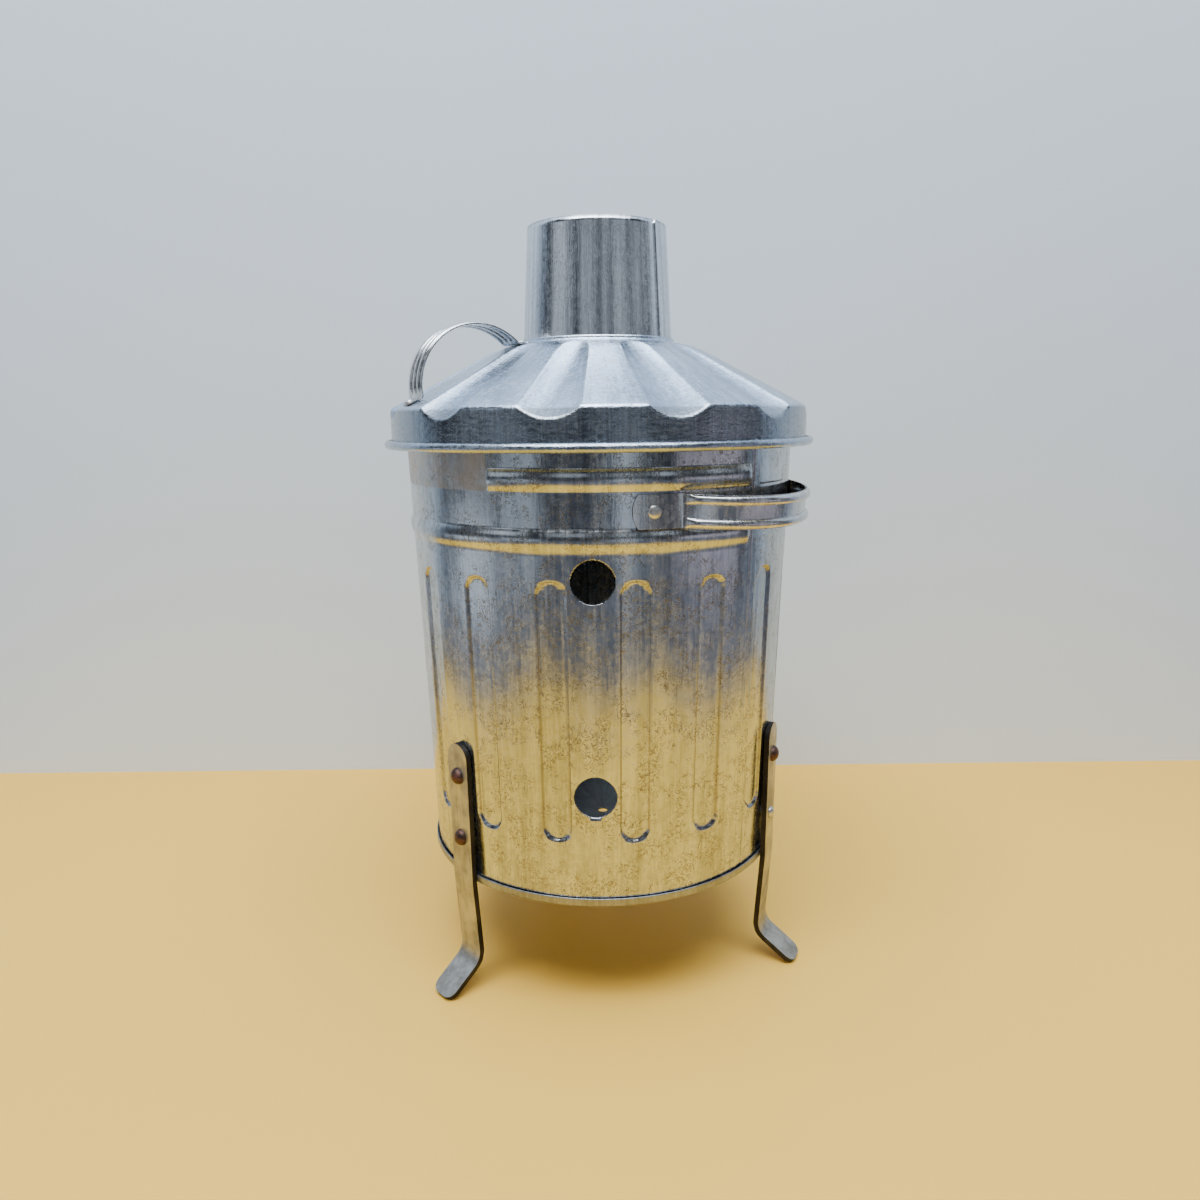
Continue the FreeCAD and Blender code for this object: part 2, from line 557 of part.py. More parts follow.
def tab_bar(radius, bar_radius):
    """A round bar square to the lid's surface, through a tab's rivet."""
    point, slope = tab_frame(radius)
    normal = Vector(0, -math.sin(slope), math.cos(slope))
    bar = Part.makeCylinder(bar_radius, 20, point - normal * 10, normal)
    return turned(bar, LID_HANDLE_AZIMUTH)


def lid_handle_holes():
    return [tab_bar(rivet_radius, LID_RIVET_SHANK + 0.1) for *_, rivet_radius in LID_TABS.values()]


def lid_handle():
    """A strap pressed with three ridges, arched over the lid from one flat tab to the other."""
    ridge, pitch, top, foot = 1.1, 7.2, 1.3, 2.4
    outline = [(-LID_HANDLE_WIDTH / 2, 0)]
    for middle in (-pitch, 0, pitch):
        outline += [(middle - foot, 0), (middle - top, ridge), (middle + top, ridge), (middle + foot, 0)]
    outline.append((LID_HANDLE_WIDTH / 2, 0))
    strap = ribbed_arch(outline, 0.65, LID_STRAP_THICKNESS, LID_ARCH_RADIUS, LID_RIB_REACHES)
    strap.translate(LID_ARCH_CENTRE)
    lid_solid = spun(polygon_face([
        (0, LID_WIRE_Z), (LID_RADIUS, LID_WIRE_Z), (LID_RADIUS, LID_CORNER_Z),
        (LID_SHOULDER_RADIUS, cone_z(LID_SHOULDER_RADIUS)), (0, cone_z(0))]))
    lid_solid.translate(UP * (HANDLE_SHEET / 2))
    solid = strap.cut(lid_solid)
    for inner, outer, _ in LID_TABS.values():
        point, slope = tab_frame((inner + outer) / 2)
        length = (outer - inner) / math.cos(slope)
        tab = Part.makeBox(LID_TAB_WIDTH, length, HANDLE_SHEET)
        tab.translate(Vector(-LID_TAB_WIDTH / 2, -length / 2, 0.05))
        tab.rotate(ORIGIN, Vector(1, 0, 0), math.degrees(slope))
        tab.translate(point)
        solid = solid.fuse(tab)
    return turned(solid, LID_HANDLE_AZIMUTH).cut(lid_handle_holes())


def lid_handle_rivet(radius):
    """A small rivet square to the lid through one tab."""
    point, slope = tab_frame(radius)
    above = HANDLE_SHEET + 0.08
    solid = rivet(0, 0, above, -SHEET - 0.15, LID_RIVET_HEAD, 1.5, LID_RIVET_SHANK, LID_RIVET_TAIL, 0.8)
    solid.rotate(ORIGIN, Vector(1, 0, 0), math.degrees(slope) - 90)
    solid.translate(point)
    return turned(solid, LID_HANDLE_AZIMUTH)


# ---- every piece --------------------------------------------------------------------------------
pieces = {
    "bin_shell": bin_shell(),
    "bin_rim_wire": bin_rim_wire(),
    "base_pan": base_pan(),
    "lid_shell": lid_shell(),
    "lid_rim_wire": lid_rim_wire(),
    "chimney": chimney(),
    "lid_handle": lid_handle(),
}
for end, (*_, rivet_radius) in LID_TABS.items():
    pieces["lid_handle_rivet_" + end] = lid_handle_rivet(rivet_radius)
for place, azimuth in LEG_AZIMUTHS.items():
    pieces["leg_" + place] = leg(azimuth)
    for level, z in LEG_RIVET_HEIGHTS.items():
        pieces["leg_" + place + "_rivet_" + level] = leg_rivet(azimuth, z)
for place, azimuth in SIDE_HANDLE_AZIMUTHS.items():
    pieces["side_handle_" + place] = side_handle(azimuth)
    for end, side in (("near", -1), ("far", 1)):
        name = "side_handle_" + place + "_rivet_" + end
        pieces[name] = side_handle_rivet(azimuth + side * SIDE_RIVET_OFFSET)

os.makedirs("parts", exist_ok=True)
for name, shape in pieces.items():
    shape.exportStep("parts/" + name + ".step")
    print(name, "solids", len(shape.Solids), "valid", shape.isValid(), "volume", round(shape.Volume))
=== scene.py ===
import math

import bmesh
import bpy
import numpy as np
from mathutils import Euler, Matrix, Vector


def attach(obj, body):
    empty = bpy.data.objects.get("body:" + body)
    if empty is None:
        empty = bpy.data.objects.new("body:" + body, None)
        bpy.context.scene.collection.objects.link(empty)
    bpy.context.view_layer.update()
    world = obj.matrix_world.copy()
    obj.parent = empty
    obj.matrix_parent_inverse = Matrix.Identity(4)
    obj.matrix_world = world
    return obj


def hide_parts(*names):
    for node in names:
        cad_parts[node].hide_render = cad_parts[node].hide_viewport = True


# Looks of the galvanised smoker bin.  Lengths are in millimetres until a mesh is made, which puts
# them in metres.  An azimuth is an angle in degrees from the front (-Y) towards +X, as in the CAD.

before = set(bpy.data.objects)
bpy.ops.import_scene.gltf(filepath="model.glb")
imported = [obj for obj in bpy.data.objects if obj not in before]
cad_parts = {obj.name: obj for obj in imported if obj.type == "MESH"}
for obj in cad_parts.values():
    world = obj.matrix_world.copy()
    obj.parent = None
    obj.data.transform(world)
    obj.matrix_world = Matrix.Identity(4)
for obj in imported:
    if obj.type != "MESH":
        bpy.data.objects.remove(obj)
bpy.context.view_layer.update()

MM = 0.001
SHEET = 0.8

# the bin, as in the CAD
BIN_BOTTOM_Z, BIN_BOTTOM_RADIUS, BIN_TAPER = 82.0, 122.25, 0.03125
CHIME_BOTTOM_Z, CHIME_TOP_Z, CHIME_RADIUS = 77.6, 83.0, 124.0
BASE_FLOOR_Z, BASE_HOLE_RADIUS = 86.5, 3.5
RIM_TOP_Z, RIM_CURL_INNER = 380.9, 1.85
FLUTE_COUNT, FLUTE_FIRST = 16, 9.25
FLUTE_LOW_Z, FLUTE_HIGH_Z, FLUTE_WIDTH, FLUTE_DEPTH, FLUTE_RUN = 120.0, 286.0, 19.6, 1.6, 1.9
SEAM_START, SEAM_END, SEAM_PROUD = 45.3, 48.4, 0.9
BEAD_HEIGHT, BEAD_PROUD = 13.0, 1.8
UPPER_BEAD_Z, LOWER_BEAD_Z = 343.7, 309.3
BACK_BEADS_START, BACK_BEADS_END = 92.0, 258.0
PATCH_START, PATCH_END, PATCH_LOW_Z = -101.0, -30.3, 336.9              # a flat, duller stretch
FRONT_BEADS_END = 44.9
BEAD_SPANS = {                                                          # azimuths where each runs
    UPPER_BEAD_Z: [(PATCH_END, FRONT_BEADS_END), (BACK_BEADS_START, BACK_BEADS_END)],
    LOWER_BEAD_Z: [(BACK_BEADS_START - 360.0, FRONT_BEADS_END)],
}
AIR_HOLE_RADIUS, AIR_HOLE_AZIMUTHS, AIR_HOLE_HEIGHTS = 13.4, (-2.0, 88.0, 178.0, 268.0), (151.0, 285.0)

# the legs
LEG_AZIMUTHS = {"front_left": -47.0, "right": 65.5, "rear": 200.5}
LEG_WIDTH, LEG_THICKNESS = 21.0, 3.5
LEG_PATH = [(126.95, 173.0), (125.85, 77.6), (121.8, 21.0), (148.7, 1.45)]
LEG_BENDS, LEG_TOE_ROUND = [30.0, 14.0], 7.0
LEG_RIVETS = {"upper": (151.0, 128.5), "lower": (108.0, 128.0)}    # height, and radius of its face

# the handles
SIDE_HANDLE_AZIMUTHS = {"right": 50.0, "left": 230.0}
SIDE_HANDLE_Z, SIDE_ARCH_CENTRE, SIDE_ARCH_RADIUS, SIDE_ARCH_FOOT = 325.4, 75.0, 75.35, 58.5
SIDE_ARCH_DROOP, SIDE_ARCH_HINGE = math.radians(4.5), 115.3
SIDE_TAB_RADIUS, SIDE_TAB_START, SIDE_TAB_END, SIDE_TAB_HEIGHT = 131.25, 29.2, 41.8, 21.4
SIDE_TAB_ROUND, SIDE_RIVET_OFFSET = 17.0, 36.2
LID_HANDLE_AZIMUTH, LID_ARCH_CENTRE, LID_ARCH_RADIUS = -60.0, (92.0, 397.6), 39.15
LID_HANDLE_WIDTH, LID_RIDGE_PITCH = 24.0, 7.2
LID_ARCH_FEET = (63.2, 131.3)                                           # radii where the arch lands
LID_TABS = {"inner": (54.2, 58.2), "outer": (138.6, 135.0)}        # radii of its end and its rivet

# the lid
CONE_SLOPE, TOP_SLOPE = math.radians(28.0), math.radians(8.0)
LID_RADIUS, LID_CORNER_Z, LID_SHOULDER_RADIUS = 140.9, 384.9, 66.0
LID_NECK_RADIUS, LID_NECK_TOP_Z = 51.7, 429.3
LID_CORNER_ROUND = 3.5
LID_WIRE_Z, LID_CURL_INNER = 362.1, 2.02
LID_FLUTE_COUNT, LID_FLUTE_FIRST = 12, -11.3
LID_FLUTE_HALF_WIDTH, LID_FLUTE_DEPTH = math.radians(7.3), math.radians(2.08)
CHIMNEY_TOP_Z, CHIMNEY_TOP_RADIUS, CHIMNEY_BASE_Z, CHIMNEY_BASE_RADIUS = 501.4, 46.2, 427.6, 50.3
CHIMNEY_FLANGE_RADIUS, CHIMNEY_FLANGE_Z, CHIMNEY_SHEET = 54.3, 425.05, 0.7
CHIMNEY_SEAM_START, CHIMNEY_SEAM_END, CHIMNEY_SEAM_PROUD = 52.3, 57.0, 0.9


# ---- meshes -------------------------------------------------------------------------------------
def smooth_step(values):
    """0 below 0, 1 above 1, and an S between."""
    clipped = np.clip(values, 0.0, 1.0)
    return clipped * clipped * (3.0 - 2.0 * clipped)


def round_the_axis(radius, azimuth, z):
    """Points at a radius, an azimuth in degrees and a height, as an array of x, y, z."""
    angle = np.radians(azimuth)
    return np.stack(np.broadcast_arrays(radius * np.sin(angle), -radius * np.cos(angle), z), axis=-1)


def graded(start, end, coarse, fine, zones):
    """Values from start to end, closer together inside the zones."""
    values = [start]
    while values[-1] < end - 1e-6:
        here = values[-1]
        step = fine if any(low <= here <= high for low, high in zones) else coarse
        values.append(min(here + step, end))
    return np.array(values)


def grid_mesh(name, points, closed=False, gone=None, fields=None):
    """A smooth-shaded sheet through a grid of points in millimetres.  `closed` joins the last column
    to the first, `gone` marks points whose faces are left out, and `fields` are named numbers kept
    with the points for the material."""
    rows, columns = points.shape[:2]
    number = np.arange(rows * columns).reshape(rows, columns)
    right = np.roll(number, -1, axis=1) if closed else number[:, 1:]
    left = number if closed else number[:, :-1]
    faces = np.stack([left[:-1], right[:-1], right[1:], left[1:]], axis=-1).reshape(-1, 4)
    if gone is not None:
        faces = faces[~gone.reshape(-1)[faces].all(axis=1)]
    mesh = bpy.data.meshes.new(name)
    mesh.vertices.add(rows * columns)
    mesh.vertices.foreach_set("co", (points.reshape(-1) * MM).astype(np.float32))
    mesh.loops.add(faces.size)
    mesh.loops.foreach_set("vertex_index", faces.reshape(-1))
    mesh.polygons.add(len(faces))
    mesh.polygons.foreach_set("loop_start", np.arange(0, faces.size, 4))
    mesh.update(calc_edges=True)
    for field, values in (fields or {}).items():
        layer = mesh.attributes.new(field, "FLOAT", "POINT")
        layer.data.foreach_set("value", values.reshape(-1).astype(np.float32))
    mesh.polygons.foreach_set("use_smooth", np.ones(len(faces), bool))
    piece = bpy.data.objects.new(name, mesh)
    bpy.context.scene.collection.objects.link(piece)
    drop_loose_points(piece)
    return piece


def drop_loose_points(piece):
    """Removes the points that no face uses, such as those inside a hole."""
    used = np.zeros(len(piece.data.vertices), bool)
    corners = np.zeros(len(piece.data.loops), np.int32)
    piece.data.loops.foreach_get("vertex_index", corners)
    used[corners] = True
    if used.all():
        return
    work = bmesh.new()
    work.from_mesh(piece.data)
    work.verts.ensure_lookup_table()
    bmesh.ops.delete(work, geom=[work.verts[i] for i in np.flatnonzero(~used)], context="VERTS")
    work.to_mesh(piece.data)
    work.free()


def give_thickness(piece, thickness, offset=-1.0, rim_material=0):
    """Turns a surface into sheet of that thickness; offset -1 grows it behind the surface."""
    solid = piece.modifiers.new("thickness", "SOLIDIFY")
    solid.thickness = thickness * MM
    solid.offset = offset
    solid.material_offset_rim = rim_material


def soften_edges(piece, width, segments=2):
    bevel = piece.modifiers.new("soft edges", "BEVEL")
    bevel.width = width * MM
    bevel.segments = segments
    bevel.limit_method = "ANGLE"
    bevel.angle_limit = math.radians(40)
    bevel.harden_normals = True


def stand_in(piece, body, nodes, materials):
    """Puts a finished piece on its body in place of CAD nodes."""
    for material in materials:
        piece.data.materials.append(material)
    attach(piece, body)
    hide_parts(*nodes)
    return piece


def arc(centre, radius, start, end, count):
    """Points on an arc in a profile, with angles in degrees from the outward direction."""
    angles = np.radians(np.linspace(start, end, count))
    return [(centre[0] + radius * math.cos(a), centre[1] + radius * math.sin(a)) for a in angles]


def bent(points, bends, step=1.0):
    """A polyline with an arc of the given radius at each inner corner, as even steps."""
    corners = [Vector(point) for point in points]
    path = [corners[0]]
    for before, corner, after, bend in zip(corners, corners[1:], corners[2:], bends):
        back, on = (before - corner).normalized(), (after - corner).normalized()
        half = back.angle(on) / 2
        middle = corner + (back + on).normalized() * (bend / math.sin(half))
        start = corner + back * (bend / math.tan(half))
        sweep = math.pi - 2 * half
        turn = math.copysign(1, back.cross(on))
        for share in np.linspace(0, 1, 13):
            angle = -turn * sweep * share
            path.append(middle + Matrix.Rotation(angle, 2) @ (start - middle))
    path.append(corners[-1])
    return evenly(path, step)


def evenly(points, step):
    """A polyline resampled at even steps."""
    points = np.array([tuple(point) for point in points], float)
    lengths = np.concatenate([[0], np.cumsum(np.linalg.norm(np.diff(points, axis=0), axis=1))])
    even = np.linspace(0, lengths[-1], int(lengths[-1] / step) + 1)
    return np.stack([np.interp(even, lengths, points[:, k]) for k in (0, 1)], axis=1)


def along(path, distances):
    """Positions on a 2-D path, and its left-hand normals, at distances from its start."""
    lengths = np.concatenate([[0], np.cumsum(np.linalg.norm(np.diff(path, axis=0), axis=1))])
    slopes = np.gradient(path, lengths, axis=0)
    slopes /= np.linalg.norm(slopes, axis=1)[:, None]
    place = [np.interp(distances, lengths, path[:, k]) for k in (0, 1)]
    slope = [np.interp(distances, lengths, slopes[:, k]) for k in (0, 1)]
    return place[0], place[1], -slope[1], slope[0]


def path_length(path):
    return np.linalg.norm(np.diff(path, axis=0), axis=1).sum()


def lathe(name, profile, columns=256):
    """A profile of (radius, height) points turned about the axis, seen from its left-hand side."""
    radii, heights = np.array(profile, float).T
    azimuths = np.arange(columns) * 360.0 / columns
    points = round_the_axis(radii[:, None], azimuths[None, :], heights[:, None])
    return grid_mesh(name, points[:, ::-1], closed=True)


# ---- the bin's wall -----------------------------------------------------------------------------
def bin_radius(z):
    return BIN_BOTTOM_RADIUS + BIN_TAPER * (z - BIN_BOTTOM_Z)


def from_azimuth(azimuth, centre):
    """Signed angle from a centre azimuth, between -180 and 180 degrees."""
    return (azimuth - centre + 180.0) % 360.0 - 180.0


def in_span(azimuth, start, end, soft):
    """1 inside a span of azimuths and 0 outside, changing over `soft` degrees inside its ends."""
    inside = (end - start) / 2 - np.abs(from_azimuth(azimuth, (start + end) / 2))
    return smooth_step(inside / soft)


def flute_depth(azimuth, z):
    """How deep the pressed flutes are at each point of the wall."""
    nearest = FLUTE_FIRST + 22.5 * np.round((azimuth - FLUTE_FIRST) / 22.5)
    across = np.radians(azimuth - nearest) * bin_radius(z)
    reach = (FLUTE_HIGH_Z - FLUTE_LOW_Z - FLUTE_WIDTH) / 2
    beyond = np.maximum(np.abs(z - (FLUTE_HIGH_Z + FLUTE_LOW_Z) / 2) - reach, 0)
    inside = FLUTE_WIDTH / 2 - np.hypot(across, beyond)
    return FLUTE_DEPTH * smooth_step(inside / FLUTE_RUN)


def bead_height(azimuth, z):
    """How far the rounded ribs stand out of the wall."""
    half = BEAD_HEIGHT / 2
    round_radius = (half ** 2 + BEAD_PROUD ** 2) / (2 * BEAD_PROUD)
    total = np.zeros(np.broadcast(azimuth, z).shape)
    for centre, spans in BEAD_SPANS.items():
        drop = round_radius - np.sqrt(np.maximum(round_radius ** 2 - (z - centre) ** 2, 0))
        rise = np.maximum(BEAD_PROUD - drop, 0)
        for start, end in spans:
            total = total + rise * in_span(azimuth, start, end, 0.7)
    return total


def crease_depth(azimuth, z):
    """Faint creases that carry on the edges of the beads past the seam, where the wall is flat."""
    total = np.zeros(np.broadcast(azimuth, z).shape)
    for centre in BEAD_SPANS:
        for edge in (centre - BEAD_HEIGHT / 2, centre + BEAD_HEIGHT / 2):
            total = total + 0.16 * np.exp(-((z - edge) / 0.7) ** 2)
    return total * in_span(azimuth, SEAM_END, BACK_BEADS_START, 0.7)


def seam_height(azimuth, z):
    """The folded seam, with the dark gap along its left edge."""
    strip = in_span(azimuth, SEAM_START, SEAM_END, 0.25) * smooth_step((376.0 - z) / 1.0)
    gap = 0.5 * np.exp(-((from_azimuth(azimuth, SEAM_START - 0.2) / 0.18) ** 2))
    return SEAM_PROUD * strip - gap


def waviness(azimuth, z, depth, first):
    """Slight unevenness of rolled sheet: shallow waves up the wall that drift a little."""
    total = 0
    for index, turns in enumerate((first, 1.7 * first, 2.9 * first)):
        turns = round(turns)
        drift = 0.5 * np.sin(z / (70.0 + 30.0 * index) + 2.1 * index)
        total = total + depth / (1 + index) * np.sin(np.radians(azimuth) * turns + 1.9 * index + drift)
    return total


def round_out_holes(azimuth, z):
    """Moves grid points next to the air holes on to their edges.  Returns the moved grid, and which
    points lie inside a hole."""
    gone = np.zeros(azimuth.shape, bool)
    for centre in AIR_HOLE_AZIMUTHS:
        for height in AIR_HOLE_HEIGHTS:
            radius = bin_radius(height)
            across = np.radians(from_azimuth(azimuth, centre)) * radius
            up = z - height
            distance = np.hypot(across, up)
            inside = distance < AIR_HOLE_RADIUS
            rim = inside & ~(np.roll(inside, 1, 0) & np.roll(inside, -1, 0)
                             & np.roll(inside, 1, 1) & np.roll(inside, -1, 1))
            stretch = np.where(rim, AIR_HOLE_RADIUS / np.maximum(distance, 1e-6), 1.0)
            azimuth = azimuth + np.where(rim, np.degrees(across * (stretch - 1) / radius), 0)
            z = z + np.where(rim, up * (stretch - 1), 0)
            gone |= inside
    return azimuth, z, gone


def wall_azimuths():
    """Columns of the wall's grid, closer together at the edges of flutes, holes, beads and seam."""
    degree = math.radians(1) * 127.0
    zones = []
    for index in range(FLUTE_COUNT + 2):
        centre = FLUTE_FIRST + 22.5 * (index - 1)
        for side in (-1, 1):
            edge = centre + side * (FLUTE_WIDTH / 2 - FLUTE_RUN / 2) / degree
            zones.append((edge - 1.8 / degree, edge + 1.6 / degree))
    for centre in AIR_HOLE_AZIMUTHS:
        for turn in (0, 360):
            zones.append((centre + turn - 15.0 / degree, centre + turn + 15.0 / degree))
    for edge in (SEAM_START, SEAM_END, BACK_BEADS_START, BACK_BEADS_END, PATCH_END + 360.0):
        zones.append((edge - 0.8, edge + 0.8))
    return graded(0.0, 360.0, 2.0 / degree, 0.55 / degree, zones)[:-1]


def wall_heights():
    zones = [(117.0, 132.0), (136.5, 165.5), (270.0, 300.0), (301.0, 317.0), (335.5, 352.0)]
    return graded(CHIME_TOP_Z + 0.5, RIM_TOP_Z - 2.65, 3.0, 0.6, zones)


def bin_wall():
    heights = wall_heights()
    azimuth, z = np.meshgrid(wall_azimuths(), heights)
    azimuth, z, gone = round_out_holes(azimuth, z)
    radius = bin_radius(z) - flute_depth(azimuth, z) - crease_depth(azimuth, z)
    radius = radius + np.maximum(bead_height(azimuth, z), seam_height(azimuth, z))
    radius = radius + waviness(azimuth, z, 0.16, 11)
    radius[0], radius[-1] = bin_radius(heights[0]), bin_radius(heights[-1])
    wall = round_the_axis(radius, azimuth, z)
    top = bin_radius(heights[-1])
    curl = arc((top + RIM_CURL_INNER, heights[-1]), RIM_CURL_INNER, 180, -90, 19)[1:]
    foot_radius = bin_radius(CHIME_TOP_Z)
    foot = [(foot_radius + 0.25, CHIME_BOTTOM_Z + SHEET + 0.3), (foot_radius, 80.0)]
    above = [round_the_axis(r, azimuth[-1], h) for r, h in curl]
    below = [round_the_axis(r, azimuth[0], h) for r, h in foot]
    points = np.concatenate([below, wall, above])
    pad = ((len(foot), len(curl)), (0, 0))
    patch = in_span(azimuth, PATCH_START, PATCH_END, 0.15) * smooth_step((z - PATCH_LOW_Z) / 0.5)
    hollow = flute_depth(azimuth, z) / FLUTE_DEPTH
    fields = {"flat_patch": np.pad(patch, pad, mode="edge"),
              "crease": np.pad(4 * hollow * (1 - hollow), pad)}
    piece = grid_mesh("bin_wall", points, closed=True, gone=np.pad(gone, pad), fields=fields)
    give_thickness(piece, SHEET)
    return piece


def base():
    hook, upright = CHIME_RADIUS - SHEET / 2, bin_radius(CHIME_BOTTOM_Z) - SHEET - 0.9
    floor = BASE_FLOOR_Z - SHEET / 2
    low = CHIME_BOTTOM_Z + SHEET / 2
    corners = [(hook, CHIME_TOP_Z), (hook, low), (upright, low), (upright, floor),
               (BASE_HOLE_RADIUS, floor)]
    piece = lathe("base", bent(corners, [0.9, 0.5, 1.6], 0.6))
    give_thickness(piece, SHEET, 0.0)
    return piece


# ---- straps: legs and handles -------------------------------------------------------------------
def strap(name, path, half_width, across, trims, lift, place, rows):
    """A strap laid along a 2-D path.  `across` are shares of its half width, `trims` say how much
    each share loses at the two ends, `lift` raises its surface, and `place` puts it in space."""
    total = path_length(path)
    sideways = half_width * across
    starts, finishes = trims[0](sideways), total - trims[1](sideways)
    share = np.linspace(0, 1, rows)[:, None]
    distance = starts[None, :] + (finishes - starts)[None, :] * share
    first, second, normal_1, normal_2 = along(path, distance)
    raised = lift(distance, sideways[None, :], total)
    points = place(first + normal_1 * raised, second + normal_2 * raised, sideways[None, :])
    return grid_mesh(name, points[:, ::-1])


def standing(azimuth):
    """Places a path of (radius, height) in the upright plane at an azimuth."""
    def place(radius, z, sideways):
        angle = math.radians(azimuth)
        x = radius * math.sin(angle) + sideways * math.cos(angle)
        y = -radius * math.cos(angle) + sideways * math.sin(angle)
        return np.stack(np.broadcast_arrays(x, y, z), axis=-1)
    return place


def lying(azimuth, height, hinge, droop):
    """Places a path of (sideways, outward) flat at a height, turned to an azimuth.  What lies
    further out than the hinge sags by the droop's angle."""
    def place(sideways, outward, up):
        sag = droop * smooth_step((outward - hinge + 3.0) / 8.0)
        beyond = outward - hinge
        out = hinge + beyond * np.cos(sag) + up * np.sin(sag)
        z = height + up * np.cos(sag) - beyond * np.sin(sag)
        angle = math.radians(azimuth)
        x = out * math.sin(angle) + sideways * math.cos(angle)
        y = -out * math.cos(angle) + sideways * math.sin(angle)
        return np.stack(np.broadcast_arrays(x, y, z), axis=-1)
    return place


def round_end(radius, flat=0.0):
    """How much a round end of that radius takes off a strap, beside a flat middle."""
    def trim(sideways):
        past = np.clip(np.abs(sideways) - flat, 0, radius)
        return radius - np.sqrt(np.maximum(radius ** 2 - past ** 2, 0))
    return trim


def leg(name, azimuth):
    path = bent(LEG_PATH, LEG_BENDS)
    across = np.sin(np.linspace(-math.pi / 2, math.pi / 2, 25))

    def outer_face(distance, sideways, total):
        return LEG_THICKNESS / 2 + 0 * distance * sideways

    trims = (round_end(LEG_WIDTH / 2), round_end(LEG_TOE_ROUND, LEG_WIDTH / 2 - LEG_TOE_ROUND))
    piece = strap(name, path, LEG_WIDTH / 2, across, trims, outer_face, standing(azimuth), 150)
    give_thickness(piece, LEG_THICKNESS, rim_material=1)
    soften_edges(piece, 0.5)
    return piece


def side_handle(name, azimuth):
    """Tab, arch and tab in one strip, seen from above, with a raised rib along each edge."""
    tab = [(SIDE_TAB_RADIUS * math.sin(a), SIDE_TAB_RADIUS * math.cos(a))
           for a in np.radians(np.linspace(-SIDE_TAB_END, -SIDE_TAB_START - 0.9, 40))]
    bow = [(SIDE_ARCH_RADIUS * math.sin(a), SIDE_ARCH_CENTRE + SIDE_ARCH_RADIUS * math.cos(a))
           for a in np.radians(np.linspace(1.0 - SIDE_ARCH_FOOT, SIDE_ARCH_FOOT - 1.0, 120))]
    other = [(-x, y) for x, y in reversed(tab)]
    path = evenly(tab + bow + other, 0.8)
    bend = math.radians(SIDE_TAB_END - SIDE_TAB_START) * SIDE_TAB_RADIUS

    def lift(distance, sideways, total):
        from_foot = np.minimum(distance, total - distance) - bend
        rib = np.clip(1 - np.abs((np.abs(sideways) - 6.8) / 2.75) ** 2.4, 0, 1) ** (1 / 2.0)
        return 2.45 * rib * smooth_step((from_foot - 1.0) / 10.5)

    across = graded(-1.0, 1.0, 0.055, 0.03, [(-1.0, -0.35), (0.35, 1.0)])
    trim = round_end(SIDE_TAB_ROUND)
    piece = strap(name, path, SIDE_TAB_HEIGHT / 2 - 0.7, across, (trim, trim), lift,
                  lying(azimuth, SIDE_HANDLE_Z, SIDE_ARCH_HINGE, SIDE_ARCH_DROOP), 330)
    give_thickness(piece, 1.1, rim_material=1)
    soften_edges(piece, 0.2)
    return piece


def lid_handle():
    """Tab on the lid's flat top, arch, and tab on its cone, with three narrow ridges."""
    inner, outer = LID_TABS["inner"][0], LID_TABS["outer"][0]
    lay = 1.15
    inner_foot, outer_foot = LID_ARCH_FEET
    inner_tab = [(inner, lid_height(inner) + lay), (inner_foot, lid_height(inner_foot) + lay)]
    bow = arc(LID_ARCH_CENTRE, LID_ARCH_RADIUS, 134.0, -8.0, 120)
    outer_tab = [(outer_foot, lid_height(outer_foot) + lay + 0.2),
                 (outer, lid_height(outer) + lay + 0.3)]
    path = evenly(inner_tab + bow + outer_tab, 0.8)

    def lift(distance, sideways, total):
        from_end = np.minimum(distance - 10.0, total - distance - 9.0)
        ridges = sum(np.clip(1 - np.abs((sideways - middle) / 2.4) ** 2.5, 0, 1) ** 0.75
                     for middle in (-LID_RIDGE_PITCH, 0, LID_RIDGE_PITCH))
        return 1.15 * ridges * smooth_step(from_end / 6.0)

    piece = strap("lid_handle_strap", path, LID_HANDLE_WIDTH / 2, np.linspace(-1, 1, 61),
                  (round_end(6.0, 2.5), round_end(6.0, 2.5)), lift, standing(LID_HANDLE_AZIMUTH), 260)
    give_thickness(piece, 0.9)
    soften_edges(piece, 0.18)
    return piece


# ---- rivets -------------------------------------------------------------------------------------
def rivet(name, base_point, direction, head, height, grip, shank, tail, seed):
    """A slightly uneven domed rivet, standing at a point in millimetres along a direction.  `head`,
    `shank` and `tail` are radii, and `grip` is how far the shank goes in."""
    dome = [(head * math.cos(a), height * math.sin(a)) for a in np.linspace(0, math.pi / 2, 10)]
    profile = [(0, -grip - 1.2), (tail, -grip - 1.2), (tail, -grip), (shank, -grip), (shank, 0.0)]
    profile += [(head * 0.98, 0.0)] + dome
    radii, heights = np.array(profile, float).T
    turn = np.radians(np.arange(40) * 9.0)
    phase_1, phase_2 = np.random.default_rng(seed).uniform(0, 6, 2)
    uneven = 1 + 0.025 * np.sin(2 * turn + phase_1) + 0.02 * np.sin(3 * turn + phase_2)
    radii = radii[:, None] * uneven[None, :]
    x, y = radii * np.cos(turn), radii * np.sin(turn)
    points = np.stack([x, y, np.broadcast_to(heights[:, None], x.shape)], axis=-1)
    turned = np.array(Vector(direction).to_track_quat("Z", "Y").to_matrix())
    piece = grid_mesh(name, points @ turned.T + np.array(base_point, float), closed=True)
    piece.data.set_sharp_from_angle(angle=math.radians(50))
    return piece


